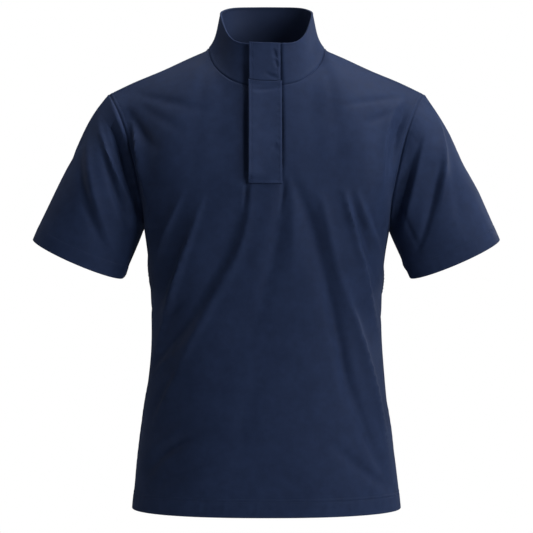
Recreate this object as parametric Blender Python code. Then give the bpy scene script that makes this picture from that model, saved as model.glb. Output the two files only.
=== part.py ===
"""Short-sleeved golf wind shirt with a stand collar and a covered quarter placket, filled out as when worn.

The frame is in metres: +Z up, the front faces -Y, the wearer's left is +X, and the origin is on the centre line,
level with the points where the neck meets the shoulders. Each cut piece is a closed wall of cloth. Pieces that
meet at a seam share its points, and each is then drawn back from the seam's middle plane by half of the gap.
"""

import math
from collections import namedtuple

import bmesh
import bpy
import numpy as np

# ---- driving sizes, in metres ----
CLOTH = 0.0015  # thickness of a wall
SEAM_GAP = 0.0003  # space between two pieces at their seam
ARMPIT_Z = -0.2655
HEM_Z = -0.682
CHEST_FULLNESS = 0.95  # how far the front swells below the shoulder seams: 0 is straight, 1.6 a quarter ellipse
BLADE_FULLNESS = 1.20  # the same for the back, over the shoulder blades

# ---- how finely the pieces are divided ----
CURVE_POINTS = 721  # on a curve, before points are spaced out evenly along it
BODY_ROWS = 14  # hem to armpit
CHEST_ROWS = 12  # armpit to shoulder, and so the columns on each half of an armhole
SHOULDER_COLUMNS = 9
FRONT_NECK_COLUMNS = 24
BACK_NECK_COLUMNS = 14
SLEEVE_ROWS = 12
COLLAR_ROWS = 5
FLAP_COLUMNS = 4
RELAX_ROUNDS = 250
RELAX_ROWS = 4  # above the armpits, over which the smoothing of the chest sets in

# Horizontal sections of the body below the armpits. square is the exponent of a superellipse: 2 is an ellipse.
Section = namedtuple("Section", "name z half_width front back square")
SECTIONS = (
    Section("hem", HEM_Z, 0.2005, 0.1220, 0.1120, 2.30),
    Section("hip", -0.612, 0.1925, 0.1205, 0.1100, 2.35),
    Section("belly", -0.522, 0.1800, 0.1175, 0.1030, 2.35),
    Section("waist", -0.432, 0.1722, 0.1150, 0.0960, 2.4),
    Section("ribs", -0.372, 0.1720, 0.1170, 0.0980, 2.45),
    Section("under_chest", -0.312, 0.1765, 0.1215, 0.1060, 2.5),
    Section("armpit", ARMPIT_Z, 0.1828, 0.1240, 0.1130, 2.5),
)

# Half rings through named places, from the centre front round the wearer's left to the centre back.
Place = namedtuple("Place", "name x y z")
NECK_SEAM = (
    Place("centre_front", 0.0000, -0.0790, -0.0587),
    Place("beside_flap", 0.0260, -0.0770, -0.0570),
    Place("front", 0.0500, -0.0690, -0.0500),
    Place("front_curve", 0.0665, -0.0545, -0.0380),
    Place("front_side", 0.0800, -0.0340, -0.0210),
    Place("neck_point", 0.0870, -0.0120, 0.0010),
    Place("back_side", 0.0830, 0.0260, 0.0080),
    Place("back_curve", 0.0630, 0.0540, 0.0100),
    Place("back", 0.0330, 0.0685, 0.0100),
    Place("centre_back", 0.0000, 0.0720, 0.0100),
)
COLLAR_TOP = (
    Place("centre_front", 0.0000, -0.0680, 0.0050),
    Place("beside_flap", 0.0250, -0.0650, 0.0052),
    Place("front", 0.0400, -0.0590, 0.0072),
    Place("front_curve", 0.0525, -0.0490, 0.0150),
    Place("front_side", 0.0640, -0.0290, 0.0370),
    Place("neck_point", 0.0688, -0.0060, 0.0550),
    Place("back_side", 0.0664, 0.0240, 0.0655),
    Place("back_curve", 0.0522, 0.0480, 0.0730),
    Place("back", 0.0265, 0.0610, 0.0758),
    Place("centre_back", 0.0000, 0.0640, 0.0764),
)
NECK_POINT = 5  # the neck point's index in both rings
COLLAR_LEAN = (0.10, 0.90)  # how far the band leans in above the neck seam: at the centre, and more at the sides

# The shoulder seam runs from the neck point to the tip, and each half armhole from the armpit up to the tip.
SHOULDER_SEAM = (
    Place("neck_point", 0.0870, -0.0120, 0.0010),
    Place("inner", 0.1180, -0.0130, -0.0120),
    Place("middle", 0.1550, -0.0140, -0.0290),
    Place("outer", 0.1980, -0.0140, -0.0466),
    Place("tip", 0.2350, -0.0120, -0.0642),
)
FRONT_ARMHOLE = (
    Place("armpit", 0.1828, 0.0000, ARMPIT_Z),
    Place("scoop", 0.1822, -0.0310, -0.2540),
    Place("low", 0.1860, -0.0530, -0.2200),
    Place("middle", 0.1935, -0.0600, -0.1800),
    Place("high", 0.2030, -0.0570, -0.1380),
    Place("cap", 0.2180, -0.0420, -0.0960),
    Place("tip", 0.2350, -0.0120, -0.0642),
)
BACK_ARMHOLE = (
    Place("armpit", 0.1828, 0.0000, ARMPIT_Z),
    Place("scoop", 0.1850, 0.0300, -0.2520),
    Place("low", 0.1930, 0.0530, -0.2160),
    Place("middle", 0.2010, 0.0620, -0.1740),
    Place("high", 0.2090, 0.0590, -0.1300),
    Place("cap", 0.2210, 0.0400, -0.0880),
    Place("tip", 0.2350, -0.0120, -0.0642),
)

# A sleeve's open end is an ellipse between its outer and inner corners, and its front hangs lower.
CUFF_OUTER = (0.3455, -0.0300, -0.2815)
CUFF_INNER = (0.2130, -0.0260, -0.3395)
CUFF_HALF_DEPTH = 0.0440
CUFF_TILT = math.radians(10.0)

# The placket's cover: its edges stand off the centre line, and the edge at the wearer's right is free and lifted.
Flap = namedtuple("Flap", "free_x sewn_x lift")
BODY_FLAP = Flap(-0.0252, 0.0226, 0.0022)
COLLAR_FLAP = Flap(-0.0240, 0.0204, 0.0018)
FLAP_BOTTOM_Z = -0.2035
FLAP_SEAM_Z = -0.0520  # the two flaps meet a little above the neck seam
FLAP_STAND_OFF = 0.0006
SLIT_WIDTH = 0.0012
SLIT_BOTTOM_Z = -0.190
SLIT_TOP_Z = 0.02  # the cutter's top, clear above the front panel
SLIT_DEPTH = 0.10  # the cutter's depth, centred as far in front of the neck

# The largest folds, as seen from the front: start, bend and end are (x, z), a height below 0 is a trough, and
# the two widths are towards the wearer's right and left. They lie on the side of the shirt that side names.
Fold = namedtuple("Fold", "name side start bend end height right_width left_width")
FOLDS = (
    Fold("right_chest", "front", (-0.092, -0.236), (-0.114, -0.300), (-0.156, -0.430), 0.0045, 0.016, 0.026),
    Fold("right_underarm", "front", (-0.138, -0.235), (-0.155, -0.275), (-0.166, -0.320), 0.0035, 0.012, 0.018),
    Fold("right_of_flap", "front", (-0.028, -0.204), (-0.044, -0.290), (-0.100, -0.392), -0.0050, 0.022, 0.014),
    Fold("right_belly", "front", (-0.050, -0.310), (-0.098, -0.440), (-0.170, -0.545), 0.0040, 0.026, 0.034),
    Fold("left_chest", "front", (0.108, -0.232), (0.124, -0.310), (0.150, -0.400), 0.0045, 0.024, 0.015),
    Fold("left_underarm", "front", (0.138, -0.225), (0.156, -0.270), (0.165, -0.315), 0.0035, 0.017, 0.012),
    Fold("left_of_flap", "front", (0.030, -0.200), (0.074, -0.290), (0.108, -0.440), -0.0045, 0.016, 0.022),
    Fold("left_belly", "front", (0.110, -0.380), (0.146, -0.470), (0.186, -0.590), 0.0035, 0.030, 0.022),
    Fold("right_hem", "front", (-0.120, -0.500), (-0.150, -0.590), (-0.176, -0.672), -0.0030, 0.024, 0.030),
    Fold("right_shoulder", "front", (-0.200, -0.095), (-0.172, -0.115), (-0.130, -0.150), -0.0035, 0.014, 0.018),
    Fold("left_shoulder", "front", (0.200, -0.095), (0.168, -0.118), (0.124, -0.156), -0.0035, 0.018, 0.014),
    Fold("right_cap", "front", (-0.240, -0.105), (-0.226, -0.160), (-0.198, -0.215), -0.0045, 0.010, 0.014),
    Fold("right_sleeve", "front", (-0.264, -0.130), (-0.262, -0.200), (-0.236, -0.262), 0.0040, 0.014, 0.016),
    Fold("left_cap", "front", (0.240, -0.105), (0.224, -0.170), (0.188, -0.240), -0.0045, 0.014, 0.010),
    Fold("left_sleeve", "front", (0.256, -0.130), (0.268, -0.180), (0.250, -0.240), 0.0040, 0.014, 0.016),
    Fold("left_sleeve_inside", "front", (0.254, -0.165), (0.246, -0.220), (0.224, -0.280), -0.0035, 0.012, 0.012),
    Fold("right_blade", "back", (-0.172, -0.140), (-0.142, -0.210), (-0.132, -0.310), -0.0050, 0.024, 0.018),
    Fold("left_blade", "back", (0.176, -0.150), (0.150, -0.220), (0.126, -0.330), -0.0045, 0.018, 0.024),
    Fold("right_back", "back", (-0.104, -0.215), (-0.088, -0.330), (-0.128, -0.470), 0.0045, 0.026, 0.020),
    Fold("left_back", "back", (0.098, -0.235), (0.104, -0.350), (0.146, -0.450), 0.0040, 0.020, 0.028),
    Fold("middle_back", "back", (0.012, -0.300), (-0.014, -0.420), (0.030, -0.540), -0.0035, 0.030, 0.026),
    Fold("right_back_sleeve", "back", (-0.236, -0.120), (-0.244, -0.180), (-0.226, -0.260), -0.0040, 0.014, 0.016),
    Fold("left_back_sleeve", "back", (0.240, -0.115), (0.240, -0.180), (0.228, -0.255), -0.0040, 0.016, 0.014),
)
FOLD_POINTS = 49  # on the path of each fold
FOLD_EDGE = 0.45  # a fold fades out where the cloth turns away from its side of the shirt, from this much facing it

# ---- the seams' corners ----
MITRE_SOFTNESS = 0.03  # keeps the corner's offset bounded where two pieces nearly fold back on each other
MITRE_LIMIT = 2.2
LEAST_CLEARANCE = 0.3  # of the seam's gap for each step into a piece, where the piece runs close to the middle plane
SHARP_ANGLE = math.radians(50)

NAVY = (0.030, 0.045, 0.105, 1.0)


# ---- curves ----


def spline(knots, values, at):
    """The natural cubic spline through these values."""
    steps, last = np.diff(knots), len(knots) - 1
    system, bends = np.eye(last + 1), np.zeros_like(values)
    for i in range(1, last):
        system[i, i - 1 : i + 2] = steps[i - 1], 2 * (steps[i - 1] + steps[i]), steps[i]
        bends[i] = 6 * ((values[i + 1] - values[i]) / steps[i] - (values[i] - values[i - 1]) / steps[i - 1])
    bends = np.linalg.solve(system, bends)
    at = np.atleast_1d(at)
    i = np.clip(np.searchsorted(knots, at, side="right") - 1, 0, last - 1)
    since, until, step = (at - knots[i])[:, None], (knots[i + 1] - at)[:, None], steps[i][:, None]
    curved = (bends[i] * until**3 + bends[i + 1] * since**3) / (6 * step)
    straight = (values[i] / step - bends[i] * step / 6) * until
    return curved + straight + (values[i + 1] / step - bends[i + 1] * step / 6) * since


def smooth_step(low, high, value):
    share = np.clip((value - low) / (high - low), 0, 1)
    return share * share * (3 - 2 * share)


def unit(vectors):
    return vectors / np.linalg.norm(vectors, axis=-1, keepdims=True)


def dot(a, b):
    return (a * b).sum(axis=-1, keepdims=True)


def lengths_along(points):
    return np.concatenate([[0], np.cumsum(np.linalg.norm(np.diff(points, axis=0), axis=1))])


def spaced(points, shares):
    """The points at these shares of a polyline's length."""
    along = lengths_along(points)
    return np.stack([np.interp(shares * along[-1], along, points[:, k]) for k in range(3)], axis=1)


def corners(places):
    return np.array([place[1:] for place in places])


def through(places, shares):
    """Points at these shares of the length of the smooth curve through named places."""
    knots = lengths_along(corners(places))
    return spaced(spline(knots, corners(places), np.linspace(0, knots[-1], CURVE_POINTS)), shares)


def mirrored(points):
    return points * np.array([-1.0, 1.0, 1.0])


def part_of_ring(places, first, last, shares):
    """Points between two places of a half ring, on the smooth curve that goes on past its ends to the other side."""
    half = corners(places)
    ring = np.concatenate([mirrored(half[3:0:-1]), half, mirrored(half[-2:-5:-1])])
    knots = lengths_along(ring)
    stretch = np.linspace(knots[3 + first], knots[3 + last], CURVE_POINTS)
    return spaced(spline(knots, ring, stretch), shares)


def lofted(start, leave, end, arrive, shares):
    """Rows of points from one row to another, which leave and arrive along the given vectors."""
    t = shares[:, None, None]
    from_start = (2 * t**3 - 3 * t**2 + 1) * start + (t**3 - 2 * t**2 + t) * leave
    return from_start + (3 * t**2 - 2 * t**3) * end + (t**3 - t**2) * arrive


# ---- the body's two panels ----


def half_section(z, facing, shares):
    """A panel's row at this height, from the wearer's right to the left. facing is -1 for the front, 1 for back."""
    table = np.array([section[1:] for section in SECTIONS])
    half_width, front, back, square = spline(table[:, 0], table[:, 1:], z)[0]
    turn = np.linspace(-math.pi / 2, math.pi / 2, CURVE_POINTS)
    x = half_width * np.sign(turn) * np.abs(np.sin(turn)) ** (2 / square)
    y = facing * (front if facing < 0 else back) * np.abs(np.cos(turn)) ** (2 / square)
    return spaced(np.stack([x, y, np.full_like(x, z)], axis=1), shares)


def column_shares(neck_columns):
    """Where the columns of a panel cross it, as shares of its width. The outer ones end on the shoulder seams."""
    shoulder = lengths_along(corners(SHOULDER_SEAM))[-1]
    neck = lengths_along(corners(NECK_SEAM[: NECK_POINT + 1]))[-1]
    share = 0.5 * shoulder / (shoulder + neck)
    outer = np.linspace(0, share, SHOULDER_COLUMNS + 1)
    inner = np.linspace(share, 1 - share, neck_columns + 1)
    return np.concatenate([outer, inner[1:-1], 1 - outer[::-1]])


def top_edge(facing, neck_columns):
    """A panel's upper edge: shoulder seam, neck seam, shoulder seam."""
    shoulder = through(SHOULDER_SEAM, np.linspace(1, 0, SHOULDER_COLUMNS + 1))
    shares = np.linspace(0, 1, neck_columns // 2 + 1)
    if facing < 0:
        neck = part_of_ring(NECK_SEAM, 0, NECK_POINT, shares)[::-1]
    else:
        neck = part_of_ring(NECK_SEAM, NECK_POINT, len(NECK_SEAM) - 1, shares)
    left = np.concatenate([shoulder, neck[1:]])
    return np.concatenate([mirrored(left), left[-2::-1]])


def chest_rows(facing, lower, edge):
    """The rows above the armpits. They rise like a quarter ellipse to the shoulder seam, and lean to the neck seam."""
    rise = unit(lower[-1] - lower[-2])
    height = edge[:, 2:] - lower[-1][:, 2:]
    depth = np.abs(edge[:, 1:2] - lower[-1][:, 1:2])
    # 1 on the shoulder seam, and 0 at the middle of the neck seam, which lies further to the front or back
    over_shoulder = smooth_step(0.078, 0.012, facing * edge[:, 1:2])
    fullness = CHEST_FULLNESS if facing < 0 else BLADE_FULLNESS
    # the front still climbs as it comes to the shoulder seam, and the back comes down to it
    climb = 0.12 if facing < 0 else -0.08
    over = np.array([0.0, -facing, 0.0]) * depth * fullness + np.array([0.0, 0.0, climb]) * height
    up = (edge - lower[-1]) * np.array([0.3, 1.3, 0.9])
    # columns that end near a neck point lean to the centre, so that they meet the neck seam nearly square
    from_centre = np.abs(edge[:, :1])
    across = np.sign(edge[:, :1]) * smooth_step(0.0, 0.06, from_centre) * smooth_step(0.125, 0.075, from_centre)
    leave = rise * height * (1 + 0.1 * over_shoulder)
    arrive = up * (1 - over_shoulder) + over * over_shoulder - np.array([0.35, 0.0, 0.0]) * across * height
    return lofted(lower[-1], leave, edge, arrive, np.linspace(0, 1, CHEST_ROWS + 1))


def panel(facing, neck_columns):
    """The front or back panel, a grid of points from the hem up and from the wearer's right to the left."""
    shares = column_shares(neck_columns)
    lower = np.array([half_section(z, facing, shares) for z in np.linspace(HEM_Z, ARMPIT_Z, BODY_ROWS + 1)])
    upper = chest_rows(facing, lower, top_edge(facing, neck_columns))
    armhole = through(FRONT_ARMHOLE if facing < 0 else BACK_ARMHOLE, np.linspace(0, 1, CHEST_ROWS + 1))
    weight = smooth_step(0.25, 1.0, np.abs(2 * shares - 1))[None, :, None]
    pull_right = (mirrored(armhole) - upper[:, 0])[:, None]
    pull_left = (armhole - upper[:, -1])[:, None]
    upper = upper + weight * np.where((shares < 0.5)[None, :, None], pull_right, pull_left)
    return relaxed(np.concatenate([lower, upper[1:]]))


def relaxed(grid):
    """The panel with its chest smoothed, by steps that shrink it and steps that swell it back. Its edges stay."""
    share = smooth_step(BODY_ROWS - 1, BODY_ROWS - 1 + RELAX_ROWS, np.arange(1, len(grid) - 1))[:, None, None]
    for step in (0.5, -0.52) * RELAX_ROUNDS:
        around = (grid[2:, 1:-1] + grid[:-2, 1:-1] + grid[1:-1, 2:] + grid[1:-1, :-2]) / 4
        grid[1:-1, 1:-1] += step * share * (around - grid[1:-1, 1:-1])
    return grid


# ---- sleeves and collar ----


def cuff_ring(count):
    """Points round a sleeve's open end, from its outer corner by the front, and the way the sleeve runs there."""
    outer, inner = np.array(CUFF_OUTER), np.array(CUFF_INNER)
    across = (outer - inner) / 2
    down = unit(np.cross([0.0, 1.0, 0.0], across))
    forward = math.cos(CUFF_TILT) * np.array([0.0, -1.0, 0.0]) + math.sin(CUFF_TILT) * down
    turn = np.linspace(0, 2 * math.pi, CURVE_POINTS)[:, None]
    ring = (outer + inner) / 2 + np.cos(turn) * across + np.sin(turn) * CUFF_HALF_DEPTH * forward
    return spaced(ring, np.linspace(0, 1, count + 1)[:-1]), down


def sleeve():
    """The wearer's left sleeve, a closed grid of points from the armhole down to the cuff."""
    shares = np.linspace(0, 1, CHEST_ROWS + 1)
    front, back = through(FRONT_ARMHOLE, shares), through(BACK_ARMHOLE, shares)
    ring = np.concatenate([front[::-1], back[1:-1]])
    cuff, down = cuff_ring(len(ring))
    turn = np.linspace(0, 2 * math.pi, len(ring) + 1)[:-1, None]
    over, under = np.array([0.60, 0.0, -0.80]), np.array([0.36, 0.0, -0.93])
    below = (1 - np.cos(turn)) / 2
    leave = unit(over * (1 - below) + under * below + np.sin(turn) * np.array([0.10, -0.45, 0.0]))
    reach = np.linalg.norm(cuff - ring, axis=1, keepdims=True)
    return lofted(ring, leave * reach * 0.8, cuff, down * reach, np.linspace(0, 1, SLEEVE_ROWS + 1))


def collar_ring(places):
    """A ring of the collar, from the centre front round the wearer's left, the back and the wearer's right."""
    front = part_of_ring(places, 0, NECK_POINT, np.linspace(0, 1, FRONT_NECK_COLUMNS // 2 + 1))
    back = part_of_ring(places, NECK_POINT, len(places) - 1, np.linspace(0, 1, BACK_NECK_COLUMNS // 2 + 1))
    half = np.concatenate([front, back[1:]])
    return np.concatenate([half, mirrored(half[-2::-1])])


def collar():
    """The collar, a band of points from the neck seam up, whose two ends meet at the centre front."""
    base, top = collar_ring(NECK_SEAM), collar_ring(COLLAR_TOP)
    outward = unit(base * np.array([1.0, 1.0, 0.0]))
    lean = COLLAR_LEAN[0] + COLLAR_LEAN[1] * outward[:, :1] ** 2
    reach = np.linalg.norm(top - base, axis=1, keepdims=True)
    leave = unit(np.array([0.0, 0.0, 1.0]) - outward * lean) * reach
    arrive = unit(top - base + outward * 0.004) * reach
    return lofted(base, leave, top, arrive, np.linspace(0, 1, COLLAR_ROWS + 1))


# ---- folds ----


def fold_height(fold, points, normals):
    """How far out a fold moves each of these points."""
    t = np.linspace(0, 1, FOLD_POINTS)[:, None]
    start, bend, end = (np.array(corner) for corner in (fold.start, fold.bend, fold.end))
    path = (1 - t) ** 2 * start + 2 * t * (1 - t) * bend + t**2 * end
    offset = points[..., None, [0, 2]] - path
    distance = np.linalg.norm(offset, axis=-1)
    nearest = distance.argmin(axis=-1)[..., None]
    distance = np.take_along_axis(distance, nearest, axis=-1)[..., 0]
    to_left = np.take_along_axis(offset[..., 0], nearest, axis=-1)[..., 0] > 0
    width = np.where(to_left, fold.left_width, fold.right_width)
    fade = np.sin(math.pi * t[nearest[..., 0], 0]) ** 0.7
    facing = normals[..., 1] * (-1 if fold.side == "front" else 1)
    return fold.height * np.exp(-((distance / width) ** 2)) * fade * smooth_step(0.0, FOLD_EDGE, facing)


def folded(grid, normals):
    return grid + normals * sum(fold_height(fold, grid, normals) for fold in FOLDS)[..., None]


# ---- from grids of points to walls of cloth ----

Piece = namedtuple("Piece", "grid closed")  # closed: its last column is joined to its first


def own_normals(piece):
    """A piece's outward directions at its points, each from the faces round it."""
    grid = piece.grid
    here = grid if piece.closed else grid[:, :-1]
    after = np.roll(grid, -1, axis=1) if piece.closed else grid[:, 1:]
    face = np.cross(after[1:] - here[:-1], here[1:] - after[:-1])
    total = np.zeros_like(grid)
    for row in (0, 1):
        for column in (0, 1):
            across = (np.arange(face.shape[1]) + column) % grid.shape[1]
            total[row : row + face.shape[0], across] += face
    return unit(total)


def point_keys(grid):
    return [tuple(key) for key in np.round(grid.reshape(-1, 3) * 1e5).astype(int).tolist()]


def offsets(pieces):
    """For each point of each piece, the vector that moves it out by 1. A seam's point has one for all its pieces."""
    meeting = {}
    normals = {name: own_normals(piece) for name, piece in pieces.items()}
    for name, piece in pieces.items():
        for key, normal in zip(point_keys(piece.grid), normals[name].reshape(-1, 3)):
            meeting.setdefault(key, []).append(normal)
    out = {}
    for name, piece in pieces.items():
        vectors = [mitre(meeting[key]) for key in point_keys(piece.grid)]
        out[name] = np.array(vectors).reshape(piece.grid.shape)
    return out


def mitre(normals):
    """The vector that is 1 long along each of these directions, or nearly so where they almost oppose each other."""
    if len(normals) == 1:
        return normals[0]
    rows = np.array(normals)
    vector = np.linalg.solve(rows.T @ rows + MITRE_SOFTNESS * np.eye(3), rows.sum(axis=0))
    vector = vector * (1 + MITRE_SOFTNESS / len(rows))
    return vector * min(1, MITRE_LIMIT / np.linalg.norm(vector))


def drawn_in(edge, inside, offset, closed):
    """How an edge moves into its own piece to clear the seam's middle plane, in which the offsets lie."""
    after, before = np.roll(edge, -1, axis=0), np.roll(edge, 1, axis=0)
    if not closed:
        after[-1], before[0] = edge[-1], edge[0]
    along = unit(after - before)
    way = inside - edge
    way = unit(way - dot(way, along) * along)
    middle = unit(offset)
    clear = np.linalg.norm(way - dot(way, middle) * middle, axis=-1, keepdims=True)
    return way * SEAM_GAP / 2 / np.maximum(clear, LEAST_CLEARANCE)


def edge_moves(piece, offset):
    """How far each point of a piece moves to open the seams round it."""
    grid, moves = piece.grid, np.zeros_like(piece.grid)
    moves[0] += drawn_in(grid[0], grid[1], offset[0], piece.closed)
    moves[-1] += drawn_in(grid[-1], grid[-2], offset[-1], piece.closed)
    if not piece.closed:
        moves[:, 0] += drawn_in(grid[:, 0], grid[:, 1], offset[:, 0], False)
        moves[:, -1] += drawn_in(grid[:, -1], grid[:, -2], offset[:, -1], False)
    return moves


def add_rim(mesh, outer, inner, seam):
    """Two triangles between an edge's outer and inner points. The seam's own points say which way they are split, so
    that the rims of the two pieces there are alike and can't cross."""
    (a, b), (c, d) = outer, inner
    start, end = (tuple(point) for point in np.round(seam, 5).tolist())
    corners_of_faces = ((a, b, d), (a, d, c)) if start > end else ((a, b, c), (b, d, c))
    for face in corners_of_faces:
        mesh.faces.new(face)


def wall_mesh(name, outer, inner, piece):
    """A closed mesh between two grids of points, with the rims that join them."""
    mesh = bmesh.new()
    out, into = ([[mesh.verts.new(point) for point in row] for row in grid] for grid in (outer, inner))
    seam, last, columns = piece.grid, len(outer) - 1, outer.shape[1]
    for a in range(columns if piece.closed else columns - 1):
        b = (a + 1) % columns
        for row in range(last):
            mesh.faces.new((out[row][a], out[row][b], out[row + 1][b], out[row + 1][a]))
            mesh.faces.new((into[row][a], into[row + 1][a], into[row + 1][b], into[row][b]))
        add_rim(mesh, (out[0][b], out[0][a]), (into[0][b], into[0][a]), seam[0, [b, a]])
        add_rim(mesh, (out[last][a], out[last][b]), (into[last][a], into[last][b]), seam[last, [a, b]])
    if not piece.closed:
        for row in range(last):
            pair = [row, row + 1]
            add_rim(mesh, [out[r][0] for r in pair], [into[r][0] for r in pair], seam[pair, 0])
            pair = [row + 1, row]
            add_rim(mesh, [out[r][-1] for r in pair], [into[r][-1] for r in pair], seam[pair, -1])
    data = bpy.data.meshes.new(name)
    mesh.to_mesh(data)
    mesh.free()
    data.shade_smooth()
    data.set_sharp_from_angle(angle=SHARP_ANGLE)
    return data


def add_wall(collection, name, piece, offset):
    moves = edge_moves(piece, offset)
    outer, inner = piece.grid + moves, piece.grid - CLOTH * offset + moves
    obj = bpy.data.objects.new(name, wall_mesh(name, outer, inner, piece))
    obj.data.materials.append(cloth_material(name))
    collection.objects.link(obj)
    return obj


def cloth_material(name):
    material = bpy.data.materials.new(name + "_polyester")
    material.use_nodes = True
    shader = material.node_tree.nodes["Principled BSDF"]
    shader.inputs["Base Color"].default_value = NAVY
    shader.inputs["Roughness"].default_value = 0.6
    shader.inputs["Metallic"].default_value = 0.0
    return material


# ---- the placket ----


def flap_piece(grid, normals, flap, first, last):
    """A flap on the lines of the cloth under it, from one row up to another, which may lie between its own rows."""
    rows = np.concatenate([[first], np.arange(math.floor(first) + 1, math.ceil(last)), [last]])
    across = np.linspace(flap.free_x, flap.sewn_x, FLAP_COLUMNS + 1)
    stand = FLAP_STAND_OFF + CLOTH + flap.lift * np.linspace(1, 0, FLAP_COLUMNS + 1)[:, None] ** 2
    lines = []
    for row in rows:
        low = min(int(row), len(grid) - 2)
        points = grid[low] + (grid[low + 1] - grid[low]) * (row - low)
        out = normals[low] + (normals[low + 1] - normals[low]) * (row - low)
        under = np.stack([np.interp(across, points[:, 0], points[:, k]) for k in range(3)], axis=1)
        way = np.stack([np.interp(across, points[:, 0], out[:, k]) for k in range(3)], axis=1)
        lines.append(under + unit(way) * stand)
    return Piece(np.array(lines), False)


def row_at_height(strip, z):
    """The row, maybe between two, at which the middle of a strip reaches this height."""
    middle = strip[:, strip.shape[1] // 2, 2]
    return float(np.interp(z, middle, np.arange(len(middle))))


def centre_strip(front, collar):
    """The columns nearest the centre, from the front's hem up to the neck seam and on to the top of the collar."""
    near, middle = FRONT_NECK_COLUMNS // 3, front.shape[1] // 2
    band = np.concatenate([collar[:, -near:-1], collar[:, :near]], axis=1)
    return np.concatenate([front[:, middle - near + 1 : middle + near], band[1:]])


def cut_slit(front, cutters):
    """Opens the front panel at its centre, from the neck seam down to the end of the placket."""
    bpy.ops.mesh.primitive_cube_add(size=1, location=(0, -SLIT_DEPTH, (SLIT_TOP_Z + SLIT_BOTTOM_Z) / 2))
    cutter = bpy.context.object
    cutter.name = "slit_cutter"
    cutter.scale = (SLIT_WIDTH, SLIT_DEPTH, SLIT_TOP_Z - SLIT_BOTTOM_Z)
    cutter.hide_render = True
    cutter.display_type = "WIRE"
    for collection in cutter.users_collection:
        collection.objects.unlink(cutter)
    cutters.objects.link(cutter)
    slit = front.modifiers.new("slit", "BOOLEAN")
    slit.operation = "DIFFERENCE"
    slit.object = cutter


def panels():
    """Every piece but the flaps, before its seams are opened. Each grid's order makes its normals point outward."""
    left = sleeve()
    pieces = {
        "front": Piece(panel(-1, FRONT_NECK_COLUMNS), False),
        "back": Piece(panel(1, BACK_NECK_COLUMNS)[:, ::-1], False),
        "sleeve_left": Piece(left, True),
        "sleeve_right": Piece(mirrored(left)[:, ::-1], True),
        "collar": Piece(collar(), False),
    }
    smooth = offsets(pieces)
    return {name: Piece(folded(piece.grid, unit(smooth[name])), piece.closed) for name, piece in pieces.items()}


def main():
    for obj in list(bpy.data.objects):
        bpy.data.objects.remove(obj)
    shirt = bpy.data.collections.new("golf_wind_shirt")
    cutters = bpy.data.collections.new("cutters")
    for collection in (shirt, cutters):
        bpy.context.scene.collection.children.link(collection)
    pieces = panels()
    out = offsets(pieces)
    walls = {name: add_wall(shirt, name, piece, out[name]) for name, piece in pieces.items()}
    cut_slit(walls["front"], cutters)
    strip = centre_strip(pieces["front"].grid, pieces["collar"].grid)
    strip_out = centre_strip(out["front"], out["collar"])
    bottom, seam = (row_at_height(strip, z) for z in (FLAP_BOTTOM_Z, FLAP_SEAM_Z))
    flaps = {
        "placket_flap": flap_piece(strip, strip_out, BODY_FLAP, bottom, seam),
        "collar_flap": flap_piece(strip, strip_out, COLLAR_FLAP, seam, len(strip) - 1),
    }
    out = offsets(flaps)
    for name, flap in flaps.items():
        add_wall(shirt, name, flap, out[name])


main()
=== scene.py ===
"""The looks of a short-sleeved golf wind shirt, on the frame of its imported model.

Each cut piece is a thin shell of cloth on the form of its solid. It comes from the same named sizes, divided more
finely, and gets the smaller creases, the seams, the hems and the stitches here. Lengths are in metres: +Z is up,
the front faces -Y and the wearer's left is +X.
"""

import math
import random
from collections import namedtuple

import bpy
import numpy as np
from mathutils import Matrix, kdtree


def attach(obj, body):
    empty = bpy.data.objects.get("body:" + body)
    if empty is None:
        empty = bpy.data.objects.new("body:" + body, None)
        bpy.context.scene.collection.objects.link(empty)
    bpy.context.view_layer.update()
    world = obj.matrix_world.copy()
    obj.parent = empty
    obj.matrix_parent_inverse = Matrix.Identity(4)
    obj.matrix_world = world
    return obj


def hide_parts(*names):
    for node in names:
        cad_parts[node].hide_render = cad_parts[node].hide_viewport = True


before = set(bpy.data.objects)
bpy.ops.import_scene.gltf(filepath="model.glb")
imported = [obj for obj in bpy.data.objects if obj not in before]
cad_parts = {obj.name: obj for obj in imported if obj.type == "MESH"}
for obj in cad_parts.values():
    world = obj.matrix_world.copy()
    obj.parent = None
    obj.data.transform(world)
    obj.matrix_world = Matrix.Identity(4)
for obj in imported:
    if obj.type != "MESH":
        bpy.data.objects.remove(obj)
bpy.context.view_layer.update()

# ---- sizes that the solids are made from ----
ARMPIT_Z = -0.2655
HEM_Z = -0.682
CHEST_FULLNESS = 0.95
BLADE_FULLNESS = 1.20
CURVE_POINTS = 721
BODY_ROWS = 14
CHEST_ROWS = 12
SHOULDER_COLUMNS = 9
FRONT_NECK_COLUMNS = 24
BACK_NECK_COLUMNS = 14
SLEEVE_ROWS = 12
COLLAR_ROWS = 5
RELAX_ROUNDS = 250
RELAX_STEPS = (0.5, -0.52)
SHOULDER_TURN = (0.078, 0.012)  # depths between which the cloth comes to turn over the shoulder
CHEST_LEAN = (0.3, 1.3, 0.9)
NECK_SPREAD = 0.35
SPREAD_BEGINS = (0.0, 0.06)
SPREAD_ENDS = (0.125, 0.075)
SHOULDER_PUSH = 0.1
ARMHOLE_PULL = (0.25, 1.0)

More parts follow.
